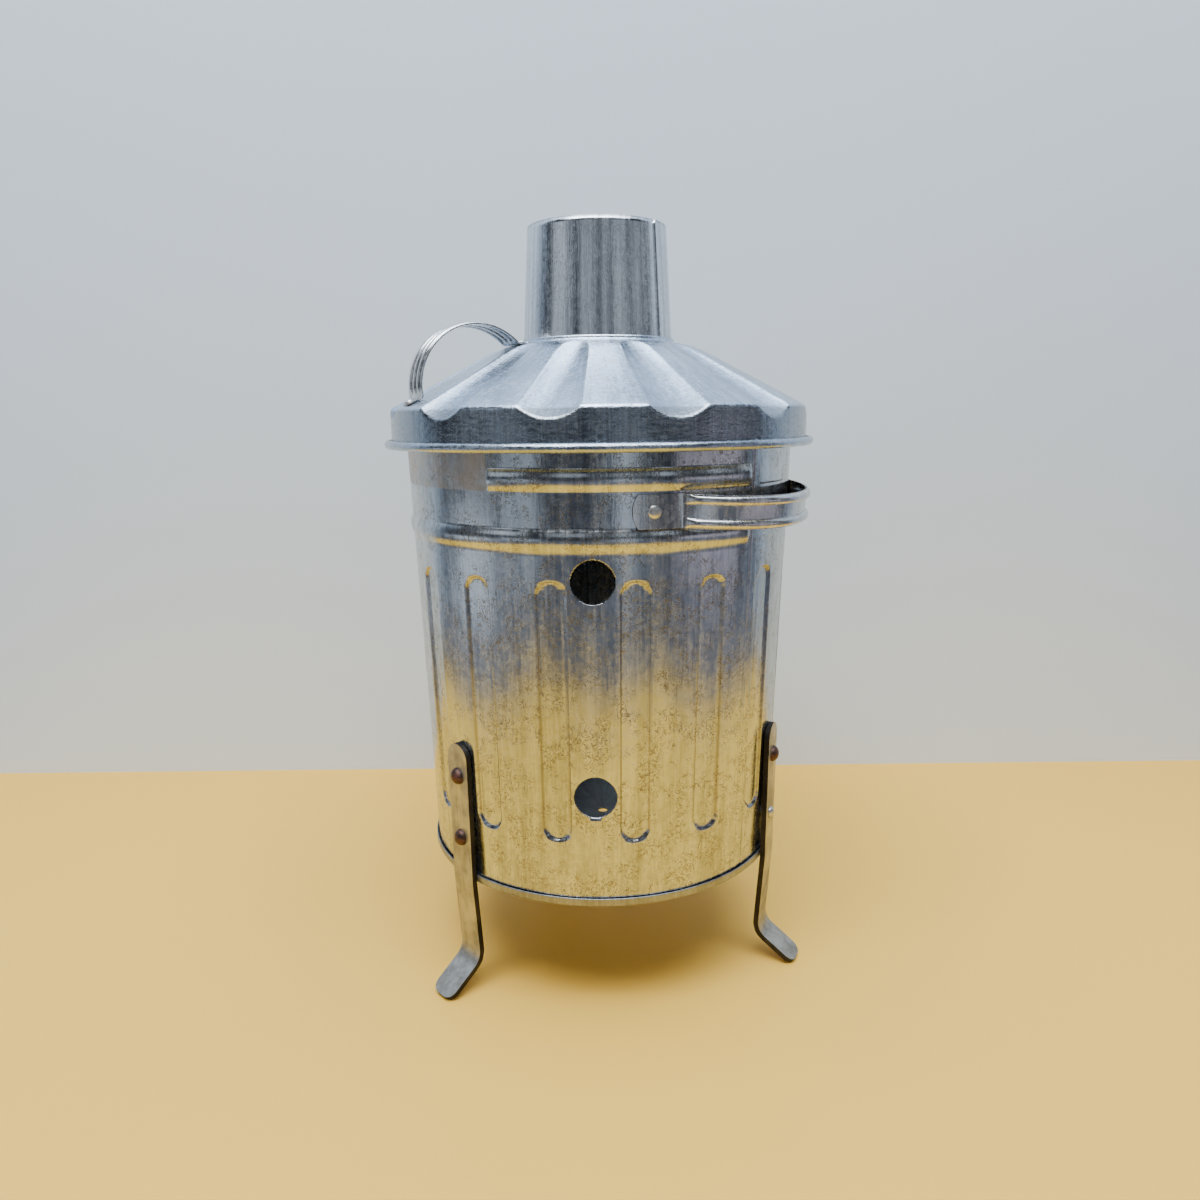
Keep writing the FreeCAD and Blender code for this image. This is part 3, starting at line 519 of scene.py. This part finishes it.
# ---- the lid ------------------------------------------------------------------------------------
def lid_height(radius):
    """Height of the lid's outer surface between its flutes."""
    shoulder = LID_CORNER_Z + (LID_RADIUS - LID_SHOULDER_RADIUS) * math.tan(CONE_SLOPE)
    over_cone = LID_CORNER_Z + (LID_RADIUS - radius) * math.tan(CONE_SLOPE)
    over_top = shoulder + (LID_SHOULDER_RADIUS - radius) * math.tan(TOP_SLOPE)
    blend = 1.6
    return over_top - blend * np.logaddexp(0, (over_top - over_cone) / blend)


def flute_slope(azimuth):
    """Slope down the lid at an azimuth on the nearest flute's round cone, which has its point on
    the lid's apex.  It is steeper than the lid's own slope inside the flute."""
    deep = CONE_SLOPE + LID_FLUTE_DEPTH
    reach = math.cos(CONE_SLOPE) * math.cos(LID_FLUTE_HALF_WIDTH)
    dip = math.atan2(reach - math.cos(deep), math.sin(deep) - math.sin(CONE_SLOPE))
    half_angle = deep - dip
    pitch = 360.0 / LID_FLUTE_COUNT
    nearest = LID_FLUTE_FIRST + pitch * np.round((azimuth - LID_FLUTE_FIRST) / pitch)
    aside = np.radians(azimuth - nearest)
    level, upright = np.cos(aside) * math.cos(dip), math.sin(dip)
    share = np.clip(math.cos(half_angle) / np.hypot(level, upright), -1, 1)
    return np.arctan2(upright, level) + np.arccos(share)


def lid_surface(radius, azimuth):
    """The lid's outer surface: the plain lid or the troughs, whichever is lower, softly joined."""
    apex = lid_height(100.0) + 100.0 * math.tan(CONE_SLOPE)
    trough = apex - radius * np.tan(flute_slope(azimuth))
    plain = lid_height(radius)
    soft = 0.22
    return plain - soft * np.logaddexp(0, (plain - trough) / soft)


def lid_cover():
    pitch = 360.0 / LID_FLUTE_COUNT
    edge = math.degrees(LID_FLUTE_HALF_WIDTH)
    zones = []
    for index in range(LID_FLUTE_COUNT + 2):
        for side in (-1, 1):
            middle = LID_FLUTE_FIRST + pitch * (index - 1) + side * edge
            zones.append((middle - 1.6, middle + 1.2))
    azimuths = graded(0.0, 360.0, 0.75, 0.3, zones)[:-1]
    radii = np.concatenate([np.linspace(54.0, 72.0, 20), np.linspace(73.5, LID_RADIUS - 6.0, 42)])
    azimuth, radius = np.meshgrid(azimuths, radii)
    top = round_the_axis(radius, azimuth, lid_surface(radius, azimuth))
    neck = [round_the_axis(r, azimuths, z) for r, z in [
        (LID_NECK_RADIUS, LID_NECK_TOP_Z), (LID_NECK_RADIUS, LID_NECK_TOP_Z - 1.2),
        (LID_NECK_RADIUS + 0.3, lid_height(52.0) + 0.35),
        (LID_NECK_RADIUS + 1.0, lid_height(52.7))]]
    corner = lid_corner(azimuths)
    skirt_height = corner[-1][:, 2] - LID_WIRE_Z
    skirt = [round_the_axis(LID_RADIUS, azimuths, LID_WIRE_Z + skirt_height * share)
             for share in np.linspace(1, 0, 4)[1:]]
    curl = arc((LID_RADIUS + LID_CURL_INNER, LID_WIRE_Z), LID_CURL_INNER, 180, 450, 19)[1:]
    hem = [round_the_axis(r, azimuths, h) for r, h in curl]
    points = np.concatenate([neck, top, corner, skirt, hem])
    piece = grid_mesh("lid_cover", points[::-1], closed=True)
    give_thickness(piece, SHEET)
    return piece


def lid_corner(azimuths):
    """The rounded edge where the fluted cone turns down into the skirt, at each azimuth."""
    edge_z = lid_surface(np.full(azimuths.shape, LID_RADIUS), azimuths)
    inner_z = lid_surface(np.full(azimuths.shape, LID_RADIUS - 5.0), azimuths)
    slope = np.arctan2(inner_z - edge_z, 5.0)
    reach = LID_CORNER_ROUND * np.tan((math.pi / 2 - slope) / 2)
    centre_r = LID_RADIUS - LID_CORNER_ROUND
    centre_z = edge_z - reach
    rows = []
    for share in np.linspace(0, 1, 9):
        angle = (math.pi / 2 - slope) * (1 - share)
        rows.append(round_the_axis(centre_r + LID_CORNER_ROUND * np.cos(angle), azimuths,
                                   centre_z + LID_CORNER_ROUND * np.sin(angle)))
    return rows


def chimney():
    taper = (CHIMNEY_BASE_RADIUS - CHIMNEY_TOP_RADIUS) / (CHIMNEY_TOP_Z - CHIMNEY_BASE_Z)
    zones = [(CHIMNEY_SEAM_START - 1.6, CHIMNEY_SEAM_START + 1.0),
             (CHIMNEY_SEAM_END - 0.8, CHIMNEY_SEAM_END + 0.8)]
    azimuths = graded(0.0, 360.0, 2.0, 0.12, zones)[:-1]
    heights = np.concatenate([np.linspace(CHIMNEY_FLANGE_Z + 1.0, 430.0, 4),
                              np.linspace(432.0, CHIMNEY_TOP_Z, 22)])
    azimuth, z = np.meshgrid(azimuths, heights)
    radius = CHIMNEY_TOP_RADIUS + taper * (CHIMNEY_TOP_Z - z)
    strip = in_span(azimuth, CHIMNEY_SEAM_START, CHIMNEY_SEAM_END, 0.3) * CHIMNEY_SEAM_PROUD
    groove = 0.55 * np.exp(-((from_azimuth(azimuth, CHIMNEY_SEAM_START - 0.35) / 0.3) ** 2))
    above_neck = smooth_step((z - LID_NECK_TOP_Z) / 0.8)
    radius = radius + (strip - groove) * above_neck + waviness(azimuth, z, 0.05, 17) * above_neck
    tube = round_the_axis(radius, azimuth, z)
    low = CHIMNEY_TOP_RADIUS + taper * (CHIMNEY_TOP_Z - heights[0])
    flange = [round_the_axis(r, azimuths, CHIMNEY_FLANGE_Z) for r in (CHIMNEY_FLANGE_RADIUS, low + 1.0)]
    piece = grid_mesh("chimney_tube", np.concatenate([flange, tube]), closed=True)
    give_thickness(piece, CHIMNEY_SHEET)
    return piece


# ---- materials ----------------------------------------------------------------------------------
class Nodes:
    """A material with a principled shader, and short ways to wire nodes into it."""

    def __init__(self, name):
        self.material = bpy.data.materials.new(name)
        self.material.use_nodes = True
        self.tree = self.material.node_tree
        self.shader = self.tree.nodes["Principled BSDF"]
        self.place = self.add("ShaderNodeTexCoord").outputs["Object"]

    def add(self, kind, **settings):
        node = self.tree.nodes.new(kind)
        for key, value in settings.items():
            setattr(node, key, value)
        return node

    def feed(self, socket, value):
        if isinstance(value, bpy.types.NodeSocket):
            self.tree.links.new(value, socket)
        else:
            socket.default_value = value

    def math(self, operation, first, second=0.0):
        node = self.add("ShaderNodeMath", operation=operation)
        self.feed(node.inputs[0], first)
        self.feed(node.inputs[1], second)
        return node.outputs[0]

    def wrapped(self, around, along, shift=(0, 0, 0)):
        """Coordinates wrapped round the axis: turns of the axis, and the way down a cone or wall."""
        parts = self.add("ShaderNodeSeparateXYZ")
        self.feed(parts.inputs[0], self.place)
        level = self.add("ShaderNodeCombineXYZ")
        self.feed(level.inputs[0], parts.outputs[0])
        self.feed(level.inputs[1], parts.outputs[1])
        out = self.add("ShaderNodeVectorMath", operation="LENGTH")
        self.feed(out.inputs[0], level.outputs[0])
        unit = self.add("ShaderNodeVectorMath", operation="NORMALIZE")
        self.feed(unit.inputs[0], level.outputs[0])
        ring = self.add("ShaderNodeVectorMath", operation="MULTIPLY_ADD")
        self.feed(ring.inputs[0], unit.outputs[0])
        ring.inputs[1].default_value = (around, around, around)
        ring.inputs[2].default_value = shift
        slant = self.math("SUBTRACT", parts.outputs[2], out.outputs["Value"])
        drop = self.math("MULTIPLY", slant, along)
        up = self.add("ShaderNodeCombineXYZ")
        self.feed(up.inputs[2], drop)
        both = self.add("ShaderNodeVectorMath", operation="ADD")
        self.feed(both.inputs[0], ring.outputs[0])
        self.feed(both.inputs[1], up.outputs[0])
        return both.outputs[0]

    def noise_at(self, vector, detail=3.0, roughness=0.6, distortion=0.0, scale=1.0):
        node = self.add("ShaderNodeTexNoise")
        self.feed(node.inputs["Vector"], vector)
        node.inputs["Scale"].default_value = scale
        node.inputs["Detail"].default_value = detail
        node.inputs["Roughness"].default_value = roughness
        node.inputs["Distortion"].default_value = distortion
        return node.outputs["Fac"]

    def stretched(self, scale, shift=(0, 0, 0)):
        node = self.add("ShaderNodeMapping")
        self.feed(node.inputs["Vector"], self.place)
        node.inputs["Scale"].default_value = scale
        node.inputs["Location"].default_value = shift
        return node.outputs["Vector"]

    def noise(self, scale, detail=4.0, roughness=0.55, stretch=(1, 1, 1), shift=(0, 0, 0),
              distortion=0.0):
        return self.noise_at(self.stretched(stretch, shift), detail, roughness, distortion, scale)

    def range(self, value, low, high, to_low, to_high):
        node = self.add("ShaderNodeMapRange")
        node.interpolation_type = "SMOOTHSTEP"
        for socket, number in zip(node.inputs[1:5], (low, high, to_low, to_high)):
            socket.default_value = number
        self.feed(node.inputs[0], value)
        return node.outputs[0]

    def mix(self, share, first, second, blend="MIX"):
        node = self.add("ShaderNodeMix", data_type="RGBA", blend_type=blend)
        self.feed(node.inputs["Factor"], share)
        self.feed(node.inputs[6], first)
        self.feed(node.inputs[7], second)
        return node.outputs[2]

    def field(self, name):
        return self.add("ShaderNodeAttribute", attribute_name=name).outputs["Fac"]

    def bump(self, height, distance, strength=1.0, under=None):
        node = self.add("ShaderNodeBump")
        node.inputs["Strength"].default_value = strength
        node.inputs["Distance"].default_value = distance
        self.feed(node.inputs["Height"], height)
        if under is not None:
            self.feed(node.inputs["Normal"], under)
        return node.outputs["Normal"]

    def finish(self, colour, roughness, metallic=1.0, normal=None):
        self.feed(self.shader.inputs["Base Color"], colour)
        self.feed(self.shader.inputs["Roughness"], roughness)
        self.feed(self.shader.inputs["Metallic"], metallic)
        if normal is not None:
            self.feed(self.shader.inputs["Normal"], normal)
        return self.material


def galvanised(name, light, dark, roughness, curls=0.5, dents=0.3, brushed=0.0, reflection_streaks=0.5,
               patch=False, skirt=False):
    """Hot-dipped sheet: fine spangle, curled dark, rough specks, vertical bands of painted
    reflection and slightly uneven metal.  `brushed` adds short strokes round the axis, `patch` a
    beige tone on the wall's flat patch and painted shade on its flutes' slopes, and `skirt`
    painted shade on the lid's skirt and hem, broken by fine lines round the axis."""
    kit = Nodes(name)
    cells = kit.add("ShaderNodeTexVoronoi")
    kit.feed(cells.inputs["Vector"], kit.place)
    cells.inputs["Scale"].default_value = 420.0
    grains = kit.add("ShaderNodeSeparateColor")
    kit.feed(grains.inputs[0], cells.outputs["Color"])
    spangle = kit.math("SUBTRACT", grains.outputs[0], 0.5)
    cloud = kit.noise(18.0, 5.0, 0.6, stretch=(1, 1, 0.5))
    bands = kit.noise_at(kit.wrapped(14.0, 7.0), 4.0, 0.6)
    fine = kit.noise_at(kit.wrapped(95.0, 60.0, (3.0, 1.0, 0.0)), 3.0, 0.65)
    line = kit.math("ABSOLUTE", kit.math("SUBTRACT", kit.noise(240.0, 3.0, 0.6, distortion=1.2), 0.5))
    curl = kit.range(line, 0.0, 0.05, 1.0, 0.0)
    where = kit.range(kit.noise(70.0, 4.0, 0.6, shift=(0.9, 0.2, 0.1)), 0.40, 0.58, 0.0, 1.0)
    speck = kit.math("MULTIPLY", kit.math("MULTIPLY", curl, where), curls)
    # painted reflection: the wrapped bands paint vertical light and dark bands into the colour,
    # standing in for the room seen in the steel
    shade = kit.math("ADD", kit.math("MULTIPLY", cloud, 1.0 - reflection_streaks),
                     kit.math("MULTIPLY", bands, reflection_streaks))
    shade = kit.math("ADD", shade, kit.math("MULTIPLY", kit.math("SUBTRACT", fine, 0.5), 0.45))
    shade = kit.math("ADD", shade, kit.math("MULTIPLY", spangle, 0.09))
    colour = kit.mix(kit.range(shade, 0.30, 0.70, 0.0, 1.0), dark, light)
    colour = kit.mix(speck, colour, [0.20, 0.18, 0.15, 1])
    rough = kit.math("ADD", kit.math("MULTIPLY", spangle, 0.08), roughness)
    rough = kit.math("ADD", rough, kit.math("MULTIPLY", kit.math("SUBTRACT", bands, 0.5), 0.22))
    rough = kit.math("ADD", rough, kit.math("MULTIPLY", kit.math("SUBTRACT", fine, 0.5), 0.20))
    rough = kit.math("ADD", rough, kit.math("MULTIPLY", speck, 0.2))
    if patch:
        flat = kit.field("flat_patch")
        # a beige tone laid over the flat patch, uneven by noise
        beige_share = kit.range(kit.noise(60.0, 5.0, 0.65), 0.35, 0.62, 0.15, 0.65)
        colour = kit.mix(kit.math("MULTIPLY", flat, beige_share), colour, [0.50, 0.40, 0.31, 1])
        rough = kit.math("ADD", rough, kit.math("MULTIPLY", flat, 0.16))
        # painted shade: darker colour on the slopes of the flutes
        flute_slope_shade = kit.math("MULTIPLY", kit.field("crease"), kit.range(fine, 0.3, 0.6, 0.35, 0.75))
        colour = kit.mix(flute_slope_shade, colour, [0.15, 0.13, 0.10, 1])
    if skirt:
        # painted shade: the lid's skirt darkened, its hem less so, broken by fine lines round the axis
        height = kit.add("ShaderNodeSeparateXYZ")
        kit.feed(height.inputs[0], kit.place)
        under = kit.range(height.outputs[2], LID_CORNER_Z * MM - 0.002, LID_CORNER_Z * MM, 1.0, 0.0)
        over = kit.range(height.outputs[2], LID_WIRE_Z * MM + 0.001, LID_WIRE_Z * MM + 0.004, 0.55, 1.0)
        scores = kit.range(kit.noise_at(kit.wrapped(230.0, 14.0), 3.0, 0.6), 0.3, 0.7, 0.95, 0.55)
        skirt_shade = kit.math("MULTIPLY", kit.math("MULTIPLY", under, over), scores)
        colour = kit.mix(skirt_shade, colour, [0.24, 0.26, 0.28, 1])
    normal = kit.bump(kit.noise(22.0, 2.0, 0.45, shift=(0.5, 0.5, 0.2)), 0.003, dents)
    normal = kit.bump(fine, 0.0002, 0.35, normal)
    normal = kit.bump(kit.noise(1300.0, 2.0, 0.6), 0.00005, 0.5, normal)
    if brushed:
        strokes = kit.noise_at(kit.wrapped(26.0, 520.0), 4.0, 0.65, 0.4)
        normal = kit.bump(strokes, 0.0006, brushed, normal)
        stroke_shade = kit.math("MULTIPLY", kit.math("SUBTRACT", strokes, 0.5), 0.9 * brushed)
        rough = kit.math("ADD", rough, stroke_shade)
    return kit.finish(colour, rough, 1.0, normal)


def rusty(name, base, rust, roughness):
    kit = Nodes(name)
    blotch = kit.noise(420.0, 5.0, 0.65)
    colour = kit.mix(kit.range(blotch, 0.40, 0.62, 0.0, 1.0), base, rust)
    rough = kit.range(blotch, 0.3, 0.7, roughness - 0.12, roughness + 0.2)
    normal = kit.bump(kit.noise(900.0, 4.0, 0.6), 0.0002, 0.8)
    return kit.finish(colour, rough, 0.75, normal)


def worn_strap(name, light, dark, roughness):
    kit = Nodes(name)
    cloud = kit.noise(45.0, 6.0, 0.65)
    scratch = kit.noise(220.0, 3.0, 0.6, stretch=(1, 1, 0.15))
    shade = kit.math("ADD", kit.math("MULTIPLY", cloud, 0.65), kit.math("MULTIPLY", scratch, 0.35))
    colour = kit.mix(kit.range(shade, 0.36, 0.64, 0.0, 1.0), dark, light)
    rough = kit.range(cloud, 0.3, 0.7, roughness + 0.1, roughness - 0.1)
    normal = kit.bump(cloud, 0.0012, 0.5)
    normal = kit.bump(kit.noise(600.0, 3.0, 0.6), 0.00012, 0.6, normal)
    return kit.finish(colour, rough, 0.9, normal)


wall_steel = galvanised("galvanised wall", [0.61, 0.65, 0.69, 1], [0.33, 0.36, 0.39, 1], 0.20,
                        curls=0.9, dents=0.22, reflection_streaks=0.6, patch=True)
# The lid's steel is tinted strongly blue: painted reflection of the bluish wall and ceiling.
lid_steel = galvanised("galvanised lid", [0.64, 0.75, 0.91, 1], [0.40, 0.48, 0.60, 1], 0.23,
                       curls=0.2, dents=0.25, brushed=0.5, reflection_streaks=0.4, skirt=True)
tube_steel = galvanised("galvanised chimney", [0.70, 0.75, 0.81, 1], [0.40, 0.43, 0.48, 1], 0.20,
                        curls=0.3, dents=0.2, reflection_streaks=0.8)
# The base's sheet is painted much darker than the wall's: painted shade under the bin, on the chime.
base_steel = galvanised("galvanised base", [0.40, 0.42, 0.45, 1], [0.22, 0.23, 0.25, 1], 0.42,
                        curls=0.4)
handle_steel = galvanised("handle strap", [0.74, 0.75, 0.76, 1], [0.44, 0.45, 0.47, 1], 0.24,
                          curls=0.25, dents=0.15)
leg_steel = worn_strap("leg strap", [0.46, 0.46, 0.45, 1], [0.24, 0.24, 0.23, 1], 0.42)
# near-black on the legs' edges: painted shade along the sides of the strap and the gap behind it
leg_edge_shade = worn_strap("leg edge shade", [0.05, 0.045, 0.04, 1], [0.02, 0.018, 0.015, 1], 0.55)
# dark on the handle straps' edges: painted shadow outlining the straps against the wall
handle_edge_shade = worn_strap("handle edge shade", [0.16, 0.155, 0.15, 1], [0.06, 0.055, 0.05, 1], 0.45)
rivet_rust = rusty("rusty rivet", [0.055, 0.035, 0.03, 1], [0.13, 0.06, 0.045, 1], 0.42)
zinc = worn_strap("zinc rivet", [0.70, 0.71, 0.72, 1], [0.46, 0.47, 0.48, 1], 0.28)
wire_steel = worn_strap("rim wire", [0.50, 0.50, 0.50, 1], [0.30, 0.30, 0.30, 1], 0.38)

# ---- every piece --------------------------------------------------------------------------------
stand_in(bin_wall(), "bin", ["bin_shell"], [wall_steel])
stand_in(base(), "bin", ["base_pan"], [base_steel])
stand_in(lid_cover(), "lid", ["lid_shell"], [lid_steel])
stand_in(chimney(), "lid", ["chimney"], [tube_steel])
stand_in(lid_handle(), "lid", ["lid_handle"], [handle_steel])

for place, azimuth in LEG_AZIMUTHS.items():
    stand_in(leg("leg_strap_" + place, azimuth), "bin", ["leg_" + place],
             [leg_steel, leg_edge_shade])
    outward = round_the_axis(1.0, azimuth, 0.0)
    for level, (z, radius) in LEG_RIVETS.items():
        node = "leg_" + place + "_rivet_" + level
        bright = node == "leg_right_rivet_lower"
        head, height = (3.9, 2.6) if bright else (5.5, 4.2)
        slot, material = ("zinc_rivet", zinc) if bright else ("rusty_rivet", rivet_rust)
        piece = rivet("head_" + node, round_the_axis(radius, azimuth, z), outward, head, height,
                      grip=5.2, shank=3.1, tail=5.0, seed=len(node) + int(z))
        stand_in(piece, "bin", [node], [material])

for place, azimuth in SIDE_HANDLE_AZIMUTHS.items():
    stand_in(side_handle("side_handle_strap_" + place, azimuth), "bin", ["side_handle_" + place],
             [handle_steel, handle_edge_shade])
    for end, side in (("near", -1), ("far", 1)):
        at = azimuth + side * SIDE_RIVET_OFFSET
        node = "side_handle_" + place + "_rivet_" + end
        piece = rivet("head_" + node, round_the_axis(SIDE_TAB_RADIUS, at, SIDE_HANDLE_Z),
                      round_the_axis(1.0, at, 0.0), head=4.0, height=1.7,
                      grip=2.3, shank=2.3, tail=4.2, seed=int(at) + 500)
        stand_in(piece, "bin", [node], [zinc])

for end, (_, radius) in LID_TABS.items():
    slope = TOP_SLOPE if end == "inner" else CONE_SLOPE
    outward = round_the_axis(math.sin(slope), LID_HANDLE_AZIMUTH, math.cos(slope))
    foot = round_the_axis(radius, LID_HANDLE_AZIMUTH, float(lid_height(radius))) + outward * 1.2
    piece = rivet("head_lid_handle_" + end, foot, outward, head=3.3, height=1.5,
                  grip=2.1, shank=1.6, tail=3.0, seed=int(radius))
    stand_in(piece, "lid", ["lid_handle_rivet_" + end], [zinc])

for node in ("bin_rim_wire", "lid_rim_wire"):
    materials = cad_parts[node].data.materials
    materials.clear()
    materials.append(wire_steel)


# ---- stage, light and camera --------------------------------------------------------------------
def plain(name, colour, roughness, surround=None):
    """A plain stage surface.  `surround` is its dimmer colour far in front of the object and far
    to its sides, past slanted edges, where only the steel sees it."""
    kit = Nodes(name)
    shade = kit.noise(3.0, 3.0, 0.5)
    darker = [value * 0.96 for value in colour[:3]] + [1]
    kit.shader.inputs["Specular IOR Level"].default_value = 0.3
    shown = kit.mix(shade, darker, colour)
    if surround:
        place = kit.add("ShaderNodeSeparateXYZ")
        kit.feed(place.inputs[0], kit.place)
        ahead = kit.range(place.outputs[1], -TABLE_FRONT - 0.08, -TABLE_FRONT, 1.0, 0.0)
        slant = kit.math("MULTIPLY", place.outputs[1], -0.4)
        aside = kit.math("ADD", kit.math("ABSOLUTE", place.outputs[0]), slant)
        aside = kit.range(aside, TABLE_SIDE, TABLE_SIDE + 0.12, 0.0, 1.0)
        shown = kit.mix(kit.math("MAXIMUM", ahead, aside), shown, surround)
    return kit.finish(shown, roughness, 0.0)


def sheet_on_stage(name, corners, material):
    mesh = bpy.data.meshes.new(name)
    mesh.from_pydata(corners, [], [(0, 1, 2, 3)])
    piece = bpy.data.objects.new(name, mesh)
    bpy.context.scene.collection.objects.link(piece)
    mesh.materials.append(material)


BACK, FRONT, SIDE, TALL = 0.30, -2.4, 2.2, 2.6         # the floor's and backdrop's reach, in metres
TABLE_FRONT, TABLE_SIDE = 0.61, 0.62                   # where the floor turns dimmer
sheet_on_stage("floor", [(-SIDE, FRONT, 0), (SIDE, FRONT, 0), (SIDE, BACK, 0), (-SIDE, BACK, 0)],
               plain("pale floor", [0.96, 0.57, 0.085, 1], 0.5, surround=[0.115, 0.12, 0.14, 1]))
sheet_on_stage("backdrop", [(-SIDE, BACK, -0.02), (SIDE, BACK, -0.02),
                            (SIDE, BACK, TALL), (-SIDE, BACK, TALL)],
               plain("pale wall", [0.74, 0.85, 0.99, 1], 0.9))


def softbox(name, location, target, size, glow, colour):
    """A soft area light of a size in metres and a surface brightness."""
    data = bpy.data.lights.new(name, "AREA")
    data.shape = "RECTANGLE"
    data.size, data.size_y = size
    data.energy = glow * math.pi * size[0] * size[1]
    data.color = colour
    lamp = bpy.data.objects.new(name, data)
    lamp.location = location
    lamp.rotation_euler = (Vector(target) - Vector(location)).to_track_quat("-Z", "Y").to_euler()
    bpy.context.scene.collection.objects.link(lamp)


def standing_box(name, azimuth, low, high, width, glow, colour, distance=1.5):
    """A dim softbox that stands round the object and shows as a band of light in its steel."""
    x, y = distance * math.sin(math.radians(azimuth)), -distance * math.cos(math.radians(azimuth))
    middle = (low + high) / 2
    softbox(name, (x, y, middle), (0, 0, middle), (width, high - low), glow, colour)


softbox("ceiling", (0.0, -0.55, 2.3), (0, -0.55, 0), (2.6, 1.5), 5.0, (0.93, 0.97, 1.0))
softbox("wall wash", (0.0, -0.75, 2.35), (0, BACK, 0.9), (2.4, 0.35), 9.5, (0.66, 0.84, 1.0))
softbox("high front", (-0.4, -1.2, 2.6), (0, 0.1, 0.4), (2.0, 0.9), 6.5, (1.0, 0.98, 0.95))
standing_box("left window", -78.0, 0.0, 0.20, 0.50, 0.80, (0.84, 0.92, 1.0), distance=1.0)
standing_box("left card", -44.0, 0.0, 0.30, 0.70, 0.62, (0.80, 0.90, 1.0))
standing_box("front card", 14.0, 0.0, 0.30, 0.40, 0.75, (0.80, 0.89, 1.0))
standing_box("right card", 66.0, 0.0, 0.30, 1.00, 0.60, (0.98, 0.86, 0.97))
for azimuth, width, glow in ((-58.0, 0.60, 0.95), (-16.0, 0.40, 0.66), (12.0, 0.30, 0.60),
                             (36.0, 0.40, 0.75), (68.0, 0.40, 0.62), (100.0, 0.60, 0.80)):
    standing_box("upper card", azimuth, 0.60, 1.10, width, glow, (0.86, 0.93, 1.0))

world = bpy.data.worlds.new("room")
world.use_nodes = True
world.node_tree.nodes["Background"].inputs["Color"].default_value = (0.80, 0.86, 1.0, 1)
world.node_tree.nodes["Background"].inputs["Strength"].default_value = 0.085
bpy.context.scene.world = world

camera = bpy.data.cameras.new("camera")
camera.sensor_width = 36.0
camera.lens = 27.1
camera.clip_start = 0.01
eye = bpy.data.objects.new("camera", camera)
eye.location = (0.0, -0.640, 0.379)
level = Euler((math.radians(90 - 11.5), 0, math.radians(0.04)))
eye.rotation_euler = (level.to_matrix() @ Euler((0, 0, math.radians(-0.64))).to_matrix()).to_euler()
bpy.context.scene.collection.objects.link(eye)
bpy.context.scene.camera = eye
